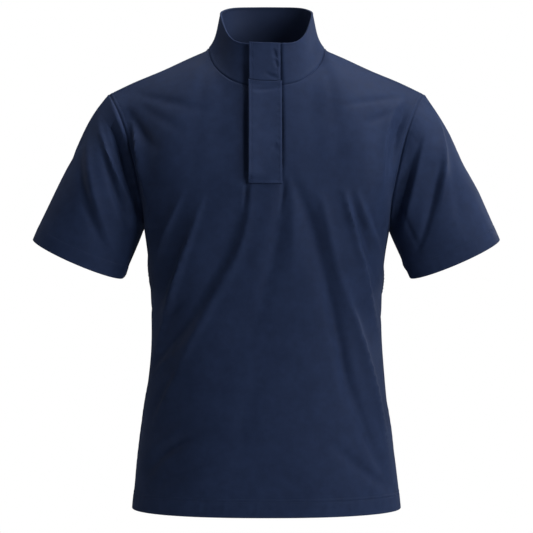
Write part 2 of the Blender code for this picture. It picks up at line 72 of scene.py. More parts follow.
Section = namedtuple("Section", "name z half_width front back square")
SECTIONS = (
    Section("hem", HEM_Z, 0.2005, 0.1220, 0.1120, 2.30),
    Section("hip", -0.612, 0.1925, 0.1205, 0.1100, 2.35),
    Section("belly", -0.522, 0.1800, 0.1175, 0.1030, 2.35),
    Section("waist", -0.432, 0.1722, 0.1150, 0.0960, 2.4),
    Section("ribs", -0.372, 0.1720, 0.1170, 0.0980, 2.45),
    Section("under_chest", -0.312, 0.1765, 0.1215, 0.1060, 2.5),
    Section("armpit", ARMPIT_Z, 0.1828, 0.1240, 0.1130, 2.5),
)

Place = namedtuple("Place", "name x y z")


def named_places(*rows):
    """Places, from rows in millimetres."""
    return tuple(Place(name, *(np.array(sizes) / 1000)) for name, *sizes in rows)


NECK_SEAM = named_places(
    ("centre_front", 0, -79, -58.7),
    ("beside_flap", 26, -77, -57),
    ("front", 50, -69, -50),
    ("front_curve", 66.5, -54.5, -38),
    ("front_side", 80, -34, -21),
    ("neck_point", 87, -12, 1),
    ("back_side", 83, 26, 8),
    ("back_curve", 63, 54, 10),
    ("back", 33, 68.5, 10),
    ("centre_back", 0, 72, 10),
)
COLLAR_TOP = named_places(
    ("centre_front", 0, -68, 5),
    ("beside_flap", 25, -65, 5.2),
    ("front", 40, -59, 7.2),
    ("front_curve", 52.5, -49, 15),
    ("front_side", 64, -29, 37),
    ("neck_point", 68.8, -6, 55),
    ("back_side", 66.4, 24, 65.5),
    ("back_curve", 52.2, 48, 73),
    ("back", 26.5, 61, 75.8),
    ("centre_back", 0, 64, 76.4),
)
NECK_POINT = 5
COLLAR_LEAN = (0.10, 0.90)
COLLAR_ROLL = 0.004

ARMPIT = Place("armpit", 0.1828, 0.0, ARMPIT_Z)
TIP = Place("tip", 0.2350, -0.0120, -0.0642)
SHOULDER_SEAM = (NECK_SEAM[NECK_POINT],) + named_places(
    ("inner", 118, -13, -12),
    ("middle", 155, -14, -29),
    ("outer", 198, -14, -46.6),
) + (TIP,)
FRONT_ARMHOLE = (ARMPIT,) + named_places(
    ("scoop", 182.2, -31, -254),
    ("low", 186, -53, -220),
    ("middle", 193.5, -60, -180),
    ("high", 203, -57, -138),
    ("cap", 218, -42, -96),
) + (TIP,)
BACK_ARMHOLE = (ARMPIT,) + named_places(
    ("scoop", 185, 30, -252),
    ("low", 193, 53, -216),
    ("middle", 201, 62, -174),
    ("high", 209, 59, -130),
    ("cap", 221, 40, -88),
) + (TIP,)
CUFF_OUTER = (0.3455, -0.0300, -0.2815)
CUFF_INNER = (0.2130, -0.0260, -0.3395)
CUFF_HALF_DEPTH = 0.0440
CUFF_TILT = math.radians(10.0)
SLEEVE_OVER = (0.60, 0.0, -0.80)
SLEEVE_UNDER = (0.36, 0.0, -0.93)
SLEEVE_SWING = (0.10, -0.45, 0.0)
SLEEVE_FULLNESS = 0.8

# The covers have the solids' edges, but their free edges stand farther out than the solids' do.
Flap = namedtuple("Flap", "free_x sewn_x lift")
BODY_FLAP = Flap(-0.0252, 0.0226, 0.0070)
COLLAR_FLAP = Flap(-0.0240, 0.0204, 0.0060)
FLAP_BOTTOM_Z = -0.2035
FLAP_SEAM_Z = -0.0520
SLIT_HALF_WIDTH = 0.0006
SLIT_BOTTOM_Z = -0.190

Fold = namedtuple("Fold", "name side start bend end height right_width left_width")


def folds(side, *rows):
    """Folds as seen from one side, from rows in millimetres.

    Each runs from its start past its bend to its end, at (x, z), or at (y, z) as seen from the left or the right. A
    height below 0 is a trough. The two widths are towards the wearer's right and left, or the front and the back.
    """
    return tuple(Fold(name, side, *(np.array(size) / 1000 for size in sizes)) for name, *sizes in rows)


# The folds that the solids have too.
FOLDS = folds(
    "front",
    ("right_chest", (-92, -236), (-114, -300), (-156, -430), 4.5, 16, 26),
    ("right_underarm", (-138, -235), (-155, -275), (-166, -320), 3.5, 12, 18),
    ("right_of_flap", (-28, -204), (-44, -290), (-100, -392), -5, 22, 14),
    ("right_belly", (-50, -310), (-98, -440), (-170, -545), 4, 26, 34),
    ("left_chest", (108, -232), (124, -310), (150, -400), 4.5, 24, 15),
    ("left_underarm", (138, -225), (156, -270), (165, -315), 3.5, 17, 12),
    ("left_of_flap", (30, -200), (74, -290), (108, -440), -4.5, 16, 22),
    ("left_belly", (110, -380), (146, -470), (186, -590), 3.5, 30, 22),
    ("right_hem", (-120, -500), (-150, -590), (-176, -672), -3, 24, 30),
    ("right_shoulder", (-200, -95), (-172, -115), (-130, -150), -3.5, 14, 18),
    ("left_shoulder", (200, -95), (168, -118), (124, -156), -3.5, 18, 14),
    ("right_cap", (-240, -105), (-226, -160), (-198, -215), -4.5, 10, 14),
    ("right_sleeve", (-264, -130), (-262, -200), (-236, -262), 4, 14, 16),
    ("left_cap", (240, -105), (224, -170), (188, -240), -4.5, 14, 10),
    ("left_sleeve", (256, -130), (268, -180), (250, -240), 4, 14, 16),
    ("left_sleeve_inside", (254, -165), (246, -220), (224, -280), -3.5, 12, 12),
) + folds(
    "back",
    ("right_blade", (-172, -140), (-142, -210), (-132, -310), -5, 24, 18),
    ("left_blade", (176, -150), (150, -220), (126, -330), -4.5, 18, 24),
    ("right_back", (-104, -215), (-88, -330), (-128, -470), 4.5, 26, 20),
    ("left_back", (98, -235), (104, -350), (146, -450), 4, 20, 28),
    ("middle_back", (12, -300), (-14, -420), (30, -540), -3.5, 30, 26),
    ("right_back_sleeve", (-236, -120), (-244, -180), (-226, -260), -4, 14, 16),
    ("left_back_sleeve", (240, -115), (240, -180), (228, -255), -4, 16, 14),
)

# Broad fills of the hollows under the neck points and beside the armholes, and of one sleeve's crown, which only the
# shells have.
FILLS = folds(
    "front",
    ("right_neck", (-82, -30), (-90, -100), (-86, -210), 2, 14, 16),
    ("left_neck", (82, -30), (90, -100), (86, -210), 2, 16, 14),
    ("right_neck_high", (-72, -6), (-82, -46), (-88, -98), 2.8, 14, 18),
    ("left_neck_high", (72, -6), (82, -46), (88, -98), 2.8, 18, 14),
    ("right_chest", (-200, -95), (-172, -115), (-130, -150), 3.2, 14, 18),
    ("left_chest", (200, -95), (168, -118), (124, -156), 3, 18, 14),
) + folds(
    "right",
    ("right_crown", (-14, -64), (-16, -96), (-18, -142), 2.4, 30, 30),
)

# Smaller creases, which only the shells have.
CREASES = folds(
    "front",
    ("flap_corner_right", (-28.5, -192), (-28.5, -216), (-33, -246), -2.8, 3, 3),
    ("flap_corner_left", (26.2, -192), (25, -216), (19, -250), -2.6, 3, 3),
    ("right_chest_crest", (-85, -209), (-120, -320), (-176, -493), 8.2, 9.5, 3.6),
    ("right_chest_shade", (-98, -235), (-137, -327), (-164, -407), -2.6, 8, 6),
    ("right_underarm_crest", (-117, -209), (-141, -264), (-167, -336), 5.6, 8, 3.8),
    ("right_of_flap_crest", (-21, -181), (-19, -283), (-71, -367), 3.6, 7, 7),
    ("right_hip_crest", (-25, -264), (-87, -393), (-181, -579), 4.9, 9, 6),
    ("right_hip_shade", (-44, -284), (-111, -396), (-179, -531), -3.4, 9, 8),
    ("right_ribs_shade", (-101, -356), (-138, -384), (-166, -425), -2.2, 6, 5),
    ("right_waist_shade", (-107, -399), (-143, -430), (-171, -479), -4.4, 5, 5),
    ("right_waist_crest", (-103, -425), (-144, -455), (-174, -490), 3.6, 5, 5),
    ("right_hip_low_shade", (-115, -453), (-151, -493), (-177, -568), -4.2, 7, 5),
    ("right_low_crest", (-95, -542), (-150, -568), (-181, -605), 3.4, 9, 9),
    ("right_low_shade", (-75, -561), (-168, -577), (-181, -642), -5.4, 8, 7),
    ("right_hem_shade", (-72, -607), (-136, -622), (-176, -650), -3, 7, 7),
    ("centre_shade", (21, -178), (33, -261), (-27, -436), -3.8, 11, 12),
    ("centre_crest", (29, -178), (50, -247), (28, -361), 1.6, 9, 10),
    ("left_of_flap_shade", (24, -169), (81, -274), (104, -436), -3.6, 8, 8),
    ("left_waist_shade", (77, -321), (113, -423), (120, -542), -5.2, 9, 7),
    ("left_long_crest", (75, -209), (89, -271), (128, -442), 4.2, 7, 7),
    ("left_chest_crest", (111, -207), (119, -250), (176, -465), 8.6, 5.4, 4),
    ("left_chest_shade", (120, -212), (136, -275), (168, -356), -3.8, 5, 4),
    ("left_underarm_crest", (128, -207), (146, -268), (173, -324), 4.8, 4.5, 4.5),
    ("left_underarm_shade", (143, -225), (160, -268), (177, -306), -2.2, 4, 4),
    ("left_hip_crest", (103, -327), (139, -410), (190, -648), 8.2, 8, 4.6),
    ("left_hip_shade", (104, -416), (122, -534), (189, -657), -5.2, 9, 7),
    ("left_hem_shade", (88, -572), (133, -613), (193, -657), -3.6, 8, 7),
    ("belly_soft", (-6, -456), (-36, -536), (-45, -640), -2.2, 18, 18),
    ("right_armhole_crest", (-201, -101), (-180, -156), (-173, -240), 11, 3.5, 6.5),
    ("right_armhole_shade", (-207, -86), (-186, -126), (-154, -157), -4.6, 10, 6),
    ("right_shoulder_high", (-201, -66), (-150, -77), (-82, -97), -1.7, 9, 5),
    ("right_shoulder_low", (-195, -78), (-156, -105), (-111, -133), -1.4, 8, 6),
    ("right_armpit_pinch", (-189, -191), (-163, -205), (-131, -208), -1.6, 3.5, 3.5),
    ("left_armhole_crest", (204, -75), (163, -107), (169, -220), 6.6, 8, 4.4),
    ("left_armhole_shade", (212, -78), (191, -117), (181, -191), -6, 5, 4),
    ("left_shoulder_high", (108, -89), (149, -78), (205, -72), -1.6, 4.5, 4.5),
    ("left_shoulder_low", (138, -117), (164, -105), (204, -88), -2, 5, 5),
    ("right_seam_shade", (-241, -74), (-225, -134), (-197, -192), -6, 6, 4),
    ("right_seam_deep", (-229, -110), (-210, -162), (-185, -254), -9.5, 4.5, 10),
    ("right_seam_crest", (-234, -75), (-210, -122), (-199, -169), 3.4, 3.5, 4),
    ("right_sleeve_crest", (-250, -96), (-240, -156), (-188, -245), 5.2, 7, 3.2),
    ("right_sleeve_shade", (-248, -125), (-229, -191), (-194, -286), -6.4, 6, 6),
    ("right_sleeve_ridge", (-262, -119), (-265, -206), (-219, -310), 3.4, 8, 5),
    ("right_sleeve_outer", (-273, -116), (-278, -232), (-223, -318), -4.4, 7, 6),
    ("right_cuff_pinch", (-291, -258), (-276, -283), (-250, -308), -1.8, 4, 4),
    ("left_seam_bulge", (234, -81), (223, -129), (197, -195), 4.4, 5, 6),
    ("left_seam_deep", (226, -128), (192, -182), (184, -289), -10, 4.5, 9),
    ("left_sleeve_edge", (241, -104), (215, -185), (200, -283), 5, 4, 7),
    ("left_sleeve_shade", (259, -151), (251, -214), (215, -318), -4.6, 5, 4.5),
    ("left_sleeve_crest", (248, -87), (273, -145), (251, -245), 5.6, 5, 3),
    ("left_sleeve_outer", (260, -110), (278, -203), (283, -277), -2.4, 7, 9),
    ("left_cuff_pinch", (199, -238), (209, -269), (225, -298), -2.4, 3, 3),
) + folds(
    "back",
    ("yoke_sag", (-75, -30), (4, -52), (80, -28), -3.9, 9, 9),
    ("right_blade", (-152, -160), (-120, -240), (-138, -345), 6.9, 7.5, 4.5),
    ("left_blade", (158, -172), (128, -236), (116, -318), 6, 4.5, 8.3),
    ("right_underarm", (-166, -232), (-150, -262), (-112, -292), -5.5, 4.5, 5.3),
    ("left_underarm", (172, -226), (152, -268), (120, -300), -4.9, 5.3, 4.5),
    ("middle_right", (-46, -220), (-30, -340), (-66, -470), 4.9, 9, 6.7),
    ("middle_left", (50, -250), (44, -350), (82, -455), 4.4, 6.7, 10.5),
    ("right_waist", (-160, -340), (-122, -404), (-40, -426), 5.2, 6, 6),
    ("left_waist", (164, -352), (126, -410), (60, -438), 4.7, 6, 6.7),
    ("waist_shade", (-120, -420), (-60, -452), (20, -448), -3.9, 7.5, 7.5),
    ("right_hip", (-90, -440), (-120, -530), (-164, -640), 6, 7.5, 5.3),
    ("left_hip", (96, -452), (112, -550), (150, -650), 5.5, 5.3, 8.3),
    ("right_cap", (-222, -98), (-206, -150), (-176, -180), -5.5, 4.5, 6),
    ("left_cap", (214, -104), (196, -146), (170, -168), -4.7, 6, 4.5),
    ("right_sleeve", (-252, -120), (-268, -200), (-246, -290), 7.4, 6, 4.5),
    ("left_sleeve", (256, -116), (262, -190), (250, -280), 6.9, 4.5, 6.7),
    ("right_sleeve_in", (-222, -170), (-226, -230), (-206, -290), -7.4, 5.3, 4.5),
    ("left_sleeve_in", (218, -176), (224, -240), (214, -300), -6.9, 4.5, 5.3),
) + folds(
    "right",
    ("right_side_pinch", (-40, -300), (4, -336), (48, -400), 3.1, 4.6, 3.9),
    ("right_side_shade", (-52, -350), (-10, -392), (40, -420), -2.6, 4.6, 5.2),
    ("right_hip_side", (-30, -480), (4, -560), (-12, -650), 2.9, 6.5, 5.2),
    ("right_sleeve_side", (-30, -130), (-6, -190), (-20, -260), -3.1, 5.2, 4.6),
) + folds(
    "left",
    ("left_side_pinch", (-46, -310), (0, -350), (44, -392), 2.9, 3.9, 4.6),
    ("left_side_shade", (-50, -372), (0, -402), (52, -450), -2.6, 5.2, 4.6),
    ("left_hip_side", (34, -470), (0, -550), (16, -640), 2.9, 5.2, 7.2),
    ("left_sleeve_side", (-16, -126), (-32, -186), (-12, -250), -2.9, 4.6, 5.2),
)

# The furrows that the placket's cover lies in, which the cover itself doesn't follow.
FURROWS = folds(
    "front",
    ("free_edge", (-26.2, -30), (-26.2, -130), (-26.2, -215), -5.4, 10, 4),
    ("sewn_edge", (22.5, -18), (22.5, -130), (22.5, -220), -4.4, 4, 2.1),
    ("free_edge_collar", (-24.5, 16), (-25, -25), (-25.5, -68), -6.2, 13, 3.5),
    ("sewn_edge_collar", (20.3, 24), (20.3, -25), (20.3, -74), -4, 4, 2.1),
)

# Small creases of the covers themselves.
FLAP_CREASES = folds(
    "front",
    ("collar_dimple", (11.2, -3), (12.8, -11), (14.6, -19), -1.9, 3.6, 1.7),
    ("collar_dimple_low", (12.8, -19), (15, -25), (16.8, -33), -1.8, 3.2, 1.7),
    ("above_seam", (-4, -40), (9, -43), (20, -50), -1.4, 3.4, 2.8),
    ("above_seam_ridge", (4, -43), (11, -42), (19, -39), 0.8, 2.8, 2.8),
    ("below_seam", (-25, -66), (-2, -65), (22.5, -60.5), -1.5, 3.4, 3.4),
    ("chest_dimple", (6, -148), (12, -153), (19, -150), -0.8, 6, 6),
)

FOLD_POINTS = 49
FOLD_ENDS = 1.15
FOLD_REACH = 3  # in widths
FOLD_FACING = (0.0, 0.45)
ROUND_CREST = 2.0
RIDGE_CREST = 1.5
UNEVENNESS = 0.0016
SMOOTH_NECK = (-0.11, -0.05)

# ---- how finely the shells are divided, as multiples of the solids' divisions ----
Fineness = namedtuple("Fineness", "body chest shoulder neck sleeve collar")
SOLID = Fineness(1, 1, 1, 1, 1, 1)
SHELL = Fineness(6, 6, 5, 4, 6, 5)
SHELL_RELAX_ROUNDS = 100
SHELL_RELAX_STEPS = (0.5, -0.503)
CENTRE_DENSITY = 0.45  # spacing of the shells' columns at the centre front, as a share of the mean spacing
FLAP_SPACING = 0.0011
LINE_CLEARANCE = 1.04
SPLINE_ROWS = 3  # whole rows behind the graded lines that their curve goes through

# ---- cloth and sewing ----
BOTTOM, TOP, FIRST, LAST = (0, False), (0, True), (1, False), (1, True)  # across rows or columns, and from which end
CLOTH = 0.0010
ROUNDING = 0.42  # how far each face of an open edge draws in, as a share of the cloth
EDGE_REACH = 0.0008
GROOVE = 0.0011
GROOVE_REACH = 0.0022
SEAM_RISE = 0.00022
SEAM_RIDGES = ((0.0040, 1.0), (0.0076, 0.6))  # places and shares of the rise
SEAM_RIDGE = 0.0016
HEM_RISE = 0.00045
HEM_STEP = (-0.0008, 0.0012)
HEM_FOLD = 0.0272
HEM_INSIDE_END = (0.0270, 0.0282)
CUFF_FOLD = 0.0226
CUFF_INSIDE_END = (0.0226, 0.0238)
CUFF_SHARE = 0.6  # of the hem's and the body seams' relief
ALLOWANCE = 0.0007
STITCH_PULL = 0.00048
STITCH_PULL_WIDTH = 0.0010
COLLAR_CLOTH = 0.0010
COLLAR_EDGE = 0.0005
COLLAR_EDGE_BEAD = (0.0014, 0.0016)
PUCKERS = 5
PUCKER_LENGTHS = (0.009, 0.024)
SEAM_LINES = (0.0, 0.0005, 0.0011, 0.0022, 0.0038, 0.0050, 0.0058, 0.0066, 0.0082)
SEAM_STITCH = 0.0058
OPEN_LINES = (0.0, 0.0003, 0.0008, 0.0018, 0.0034, 0.0044, 0.0050, 0.0056, 0.0070)
EDGE_STITCH = 0.0050
TURNED_LINES = (0.0, 0.0004, 0.0010, 0.0024, 0.0070, 0.0120, 0.0165, 0.0200)
HEM_LINES = TURNED_LINES + (0.0216, 0.0224, 0.0232, 0.0246, 0.0259, 0.0267, 0.0275, 0.0292)
HEM_STITCHES = (0.0224, 0.0267)
CUFF_LINES = TURNED_LINES + (0.0212, 0.0220, 0.0228, 0.0245)
CUFF_STITCHES = (0.0220,)
SLIT_END_LINES = (SLIT_HALF_WIDTH, 0.0011, 0.0020, 0.0034)
FAR = 1.0
STITCH_PITCH = 0.0029
STITCH_LENGTH = 0.0023
STITCH_RADIUS = 0.00034
STITCH_RISE = 0.00012
STITCH_LENGTHS = (0.92, 1.06)
STITCH_FLATNESS = 0.8
STITCH_SINK = 0.9
STITCH_BELLY = 0.28
STITCH_SIDES = 6
STITCHES_ABOVE_ARMPIT = 0.004
STITCHES_PAST_NECK = 0.003
SHARP = math.radians(50)

FLAP_CLOTH = 0.0012
FLAP_GAP = 0.0002
FLAP_BEAD = 0.00028
FLAP_BEAD_PLACE = (0.0008, 0.0009)
FLAP_ROUNDING = 1.3
FLAP_PULL = 0.00016
FLAP_PULL_WIDTH = 0.0008
FLAP_UNEVENNESS = 0.00035
FLARE = 0.0010  # how far the lower cover's bottom edge stands out
SEWN_DIP = 0.0009  # how far a cover's sewn edge goes down into the furrow beside it
SEWN_REACH = 0.0035
SEAM_OPENING = 0.1  # in rows
# heights between which the free edge comes to stand off, the flare ends and the sewn edge goes down
FREE_RISES = (FLAP_BOTTOM_Z - 0.002, FLAP_BOTTOM_Z + 0.016)
FLARE_ENDS = (FLAP_BOTTOM_Z, FLAP_BOTTOM_Z + 0.006)
SEWN_GOES_DOWN = (FLAP_BOTTOM_Z, FLAP_BOTTOM_Z + 0.012)

BODY_EDGES = {BOTTOM: HEM_LINES, TOP: SEAM_LINES, FIRST: SEAM_LINES, LAST: SEAM_LINES}
SLEEVE_EDGES = {BOTTOM: SEAM_LINES, TOP: CUFF_LINES, FIRST: SEAM_LINES, LAST: SEAM_LINES}
COLLAR_EDGES = {BOTTOM: SEAM_LINES, TOP: OPEN_LINES, FIRST: SLIT_END_LINES, LAST: SLIT_END_LINES}
FLAP_EDGES = {BOTTOM: OPEN_LINES, TOP: OPEN_LINES, FIRST: OPEN_LINES, LAST: OPEN_LINES}

DEFAULT_SEED = 11


def spline(knots, values, at):
    """The natural cubic spline through these values."""
    steps, last = np.diff(knots), len(knots) - 1
    system, bends = np.eye(last + 1), np.zeros_like(values)
    for i in range(1, last):
        system[i, i - 1 : i + 2] = steps[i - 1], 2 * (steps[i - 1] + steps[i]), steps[i]
        bends[i] = 6 * ((values[i + 1] - values[i]) / steps[i] - (values[i] - values[i - 1]) / steps[i - 1])
    bends = np.linalg.solve(system, bends)
    at = np.atleast_1d(at)
    i = np.clip(np.searchsorted(knots, at, side="right") - 1, 0, last - 1)
    since, until, step = (at - knots[i])[:, None], (knots[i + 1] - at)[:, None], steps[i][:, None]
    curved = (bends[i] * until**3 + bends[i + 1] * since**3) / (6 * step)
    straight = (values[i] / step - bends[i] * step / 6) * until
    return curved + straight + (values[i + 1] / step - bends[i + 1] * step / 6) * since


def smooth_step(low, high, value):
    share = np.clip((value - low) / (high - low), 0, 1)
    return share * share * (3 - 2 * share)


def unit(vectors):
    return vectors / np.linalg.norm(vectors, axis=-1, keepdims=True)


def lengths_along(points):
    return np.concatenate([[0], np.cumsum(np.linalg.norm(np.diff(points, axis=0), axis=1))])


def spaced(points, shares):
    """The points at these shares of a polyline's length."""
    along = lengths_along(points)
    return np.stack([np.interp(shares * along[-1], along, points[:, k]) for k in range(3)], axis=1)


def corners(places):
    return np.array([place[1:] for place in places])


def through(places, shares):
    """Points at these shares of the length of the smooth curve through named places."""
    knots = lengths_along(corners(places))
    return spaced(spline(knots, corners(places), np.linspace(0, knots[-1], CURVE_POINTS)), shares)


def mirrored(points):
    return points * np.array([-1.0, 1.0, 1.0])


def part_of_ring(places, first, last, shares):
    """Points between two places of a half ring, on the smooth curve that goes on past its ends to the other side."""
    half = corners(places)
    ring = np.concatenate([mirrored(half[3:0:-1]), half, mirrored(half[-2:-5:-1])])
    knots = lengths_along(ring)
    stretch = np.linspace(knots[3 + first], knots[3 + last], CURVE_POINTS)
    return spaced(spline(knots, ring, stretch), shares)


def lofted(start, leave, end, arrive, shares):
    """Rows of points from one row to another, which leave and arrive along the given vectors."""
    t = shares[:, None, None]
    from_start = (2 * t**3 - 3 * t**2 + 1) * start + (t**3 - 2 * t**2 + t) * leave
    return from_start + (3 * t**2 - 2 * t**3) * end + (t**3 - t**2) * arrive


# ---- the forms of the cut pieces, as the solids have them ----


def neck_shares(count, facing, times):
    """Shares of half of the neck seam, from its middle. The front shell's columns are closer at the centre."""
    even = np.linspace(0, 1, count * times.neck // 2 + 1)
    if facing > 0 or times is SOLID:
        return even
    return CENTRE_DENSITY * even + (1 - CENTRE_DENSITY) * even**2


def half_section(z, facing, shares):
    """A panel's row at this height, from the wearer's right to the left. facing is -1 for the front, 1 for the back."""
    table = np.array([section[1:] for section in SECTIONS])
    half_width, front, back, square = spline(table[:, 0], table[:, 1:], z)[0]
    turn = np.linspace(-math.pi / 2, math.pi / 2, CURVE_POINTS)
    x = half_width * np.sign(turn) * np.abs(np.sin(turn)) ** (2 / square)
    y = facing * (front if facing < 0 else back) * np.abs(np.cos(turn)) ** (2 / square)
    return spaced(np.stack([x, y, np.full_like(x, z)], axis=1), shares)


def column_shares(neck_columns, facing, times):
    """Where the columns of a panel cross it, as shares of its width. The outer ones end on the shoulder seams."""
    shoulder = lengths_along(corners(SHOULDER_SEAM))[-1]
    neck = lengths_along(corners(NECK_SEAM[: NECK_POINT + 1]))[-1]
    share = 0.5 * shoulder / (shoulder + neck)
    outer = np.linspace(0, share, SHOULDER_COLUMNS * times.shoulder + 1)
    from_middle = neck_shares(neck_columns, facing, times) * (0.5 - share)
    inner = np.concatenate([0.5 - from_middle[::-1], 0.5 + from_middle[1:]])
    return np.concatenate([outer, inner[1:-1], 1 - outer[::-1]])


def top_edge(facing, neck_columns, times):
    """A panel's upper edge: shoulder seam, neck seam, shoulder seam."""
    shoulder = through(SHOULDER_SEAM, np.linspace(1, 0, SHOULDER_COLUMNS * times.shoulder + 1))
    shares = neck_shares(neck_columns, facing, times)
    if facing < 0:
        neck = part_of_ring(NECK_SEAM, 0, NECK_POINT, shares)[::-1]
    else:
        neck = part_of_ring(NECK_SEAM, NECK_POINT, len(NECK_SEAM) - 1, shares)
    left = np.concatenate([shoulder, neck[1:]])
    return np.concatenate([mirrored(left), left[-2::-1]])


def chest_rows(facing, lower, edge, times):
    """The rows above the armpits. They rise like a quarter ellipse to the shoulder seam, and lean to the neck seam."""
    rise = unit(lower[-1] - lower[-2])
    height = edge[:, 2:] - lower[-1][:, 2:]
    depth = np.abs(edge[:, 1:2] - lower[-1][:, 1:2])
    over_shoulder = smooth_step(*SHOULDER_TURN, facing * edge[:, 1:2])
    fullness = CHEST_FULLNESS if facing < 0 else BLADE_FULLNESS
    slope = 0.02 - 0.10 * facing  # the front still rises at the shoulder seam, the back comes down to it
    over = np.array([0.0, -facing, 0.0]) * depth * fullness + np.array([0.0, 0.0, slope]) * height
    up = (edge - lower[-1]) * CHEST_LEAN
    from_centre = np.abs(edge[:, :1])
    across = np.sign(edge[:, :1]) * smooth_step(*SPREAD_BEGINS, from_centre) * smooth_step(*SPREAD_ENDS, from_centre)
    leave = rise * height * (1 + SHOULDER_PUSH * over_shoulder)
    arrive = up * (1 - over_shoulder) + over * over_shoulder - np.array([NECK_SPREAD, 0.0, 0.0]) * across * height
    return lofted(lower[-1], leave, edge, arrive, np.linspace(0, 1, CHEST_ROWS * times.chest + 1))


def panel_points(facing, neck_columns, times):
    shares = column_shares(neck_columns, facing, times)
    heights = np.linspace(HEM_Z, ARMPIT_Z, BODY_ROWS * times.body + 1)
    # the row below the armpits gives the way the cloth rises there, and is the solids' own row
    step = (ARMPIT_Z - HEM_Z) / BODY_ROWS
    lower = np.array([half_section(z, facing, shares) for z in heights])
    below = np.array([half_section(ARMPIT_Z - step, facing, shares), lower[-1]])
    upper = chest_rows(facing, below, top_edge(facing, neck_columns, times), times)
    side = through(FRONT_ARMHOLE if facing < 0 else BACK_ARMHOLE, np.linspace(0, 1, len(upper)))
    weight = smooth_step(*ARMHOLE_PULL, np.abs(2 * shares - 1))[None, :, None]
    pull_right = (mirrored(side) - upper[:, 0])[:, None]
    pull_left = (side - upper[:, -1])[:, None]
    upper = upper + weight * np.where((shares < 0.5)[None, :, None], pull_right, pull_left)
    return np.concatenate([lower, upper[1:]])


def relaxed(grid, row_places, steps, rounds):
    """A panel with its chest smoothed, by steps that shrink it and steps that swell it back. Its edges stay."""
    share = smooth_step(BODY_ROWS - 1, BODY_ROWS + 3, row_places[1:-1])[:, None, None]
    grid = grid.copy()
    for step in steps * rounds:
        around = (grid[2:, 1:-1] + grid[:-2, 1:-1] + grid[1:-1, 2:] + grid[1:-1, :-2]) / 4
        grid[1:-1, 1:-1] += step * share * (around - grid[1:-1, 1:-1])
    return grid


def panel(facing, neck_columns):
    """The front or back panel. The solids' own smoothing is found on their rows and columns, and carried over."""
    coarse, fine = (panel_points(facing, neck_columns, times) for times in (SOLID, SHELL))
    moves = relaxed(coarse, np.arange(len(coarse)), RELAX_STEPS, RELAX_ROUNDS) - coarse
    body = np.arange(BODY_ROWS * SHELL.body) / SHELL.body
    rows = np.concatenate([body, BODY_ROWS + np.arange(CHEST_ROWS * SHELL.chest + 1) / SHELL.chest])
    places = np.interp(
        column_shares(neck_columns, facing, SHELL),
        column_shares(neck_columns, facing, SOLID),
        np.arange(coarse.shape[1]),
    )
    for at_lines in (rows, places):
        moves = spline(np.arange(len(moves)), moves.reshape(len(moves), -1), at_lines)
        moves = np.swapaxes(moves.reshape(len(at_lines), -1, 3), 0, 1)
    fine = fine + moves
    return relaxed(fine, rows, SHELL_RELAX_STEPS, SHELL_RELAX_ROUNDS)


def cuff_ring(count):
    """Points round a sleeve's open end, from its outer corner by the front, and the way the sleeve runs there."""
    outer, inner = np.array(CUFF_OUTER), np.array(CUFF_INNER)
    across = (outer - inner) / 2
    down = unit(np.cross([0.0, 1.0, 0.0], across))
    forward = math.cos(CUFF_TILT) * np.array([0.0, -1.0, 0.0]) + math.sin(CUFF_TILT) * down
    turn = np.linspace(0, 2 * math.pi, CURVE_POINTS)[:, None]
    ring = (outer + inner) / 2 + np.cos(turn) * across + np.sin(turn) * CUFF_HALF_DEPTH * forward
    return spaced(ring, np.linspace(0, 1, count + 1)[:-1]), down


def sleeve():
    """The wearer's left sleeve, from the armhole down to the cuff and from the underarm seam by the back."""
    half = CHEST_ROWS * SHELL.chest
    shares = np.linspace(0, 1, half + 1)
    front, back = through(FRONT_ARMHOLE, shares), through(BACK_ARMHOLE, shares)
    ring = np.concatenate([front[::-1], back[1:-1]])
    cuff, down = cuff_ring(len(ring))
    turn = np.linspace(0, 2 * math.pi, len(ring) + 1)[:-1, None]
    below = (1 - np.cos(turn)) / 2
    leave = unit(SLEEVE_OVER * (1 - below) + SLEEVE_UNDER * below + np.sin(turn) * SLEEVE_SWING)
    reach = np.linalg.norm(cuff - ring, axis=1, keepdims=True)
    rows = np.linspace(0, 1, SLEEVE_ROWS * SHELL.sleeve + 1)
    grid = np.roll(lofted(ring, leave * reach * SLEEVE_FULLNESS, cuff, down * reach, rows), -half, axis=1)
    return np.concatenate([grid, grid[:, :1]], axis=1)


def collar_ring(places):
    """A ring of the collar, from the centre front round the wearer's left, the back and the wearer's right."""
    front = part_of_ring(places, 0, NECK_POINT, neck_shares(FRONT_NECK_COLUMNS, -1, SHELL))
    back = part_of_ring(places, NECK_POINT, len(places) - 1, neck_shares(BACK_NECK_COLUMNS, 1, SHELL))
    half = np.concatenate([front, back[1:]])
    return np.concatenate([half, mirrored(half[-2::-1])])


def collar():
    """The collar, a band of points from the neck seam up, whose two ends meet at the centre front."""
    base, top = collar_ring(NECK_SEAM), collar_ring(COLLAR_TOP)
    outward = unit(base * np.array([1.0, 1.0, 0.0]))
    lean = COLLAR_LEAN[0] + COLLAR_LEAN[1] * outward[:, :1] ** 2
    reach = np.linalg.norm(top - base, axis=1, keepdims=True)
    leave = unit(np.array([0.0, 0.0, 1.0]) - outward * lean) * reach
    arrive = unit(top - base + outward * COLLAR_ROLL) * reach
    return lofted(base, leave, top, arrive, np.linspace(0, 1, COLLAR_ROWS * SHELL.collar + 1))


# ---- directions out of the cloth ----


def own_normals(grid):
    face = np.cross(grid[1:, 1:] - grid[:-1, :-1], grid[1:, :-1] - grid[:-1, 1:])
    total = np.zeros_like(grid)
    for row in (0, 1):
        for column in (0, 1):
            total[row : row + face.shape[0], column : column + face.shape[1]] += face
    return unit(total)


MITRE_SOFTNESS = 0.03
LONGEST_MITRE = 2.2
SAME_PLACE = 2e-5


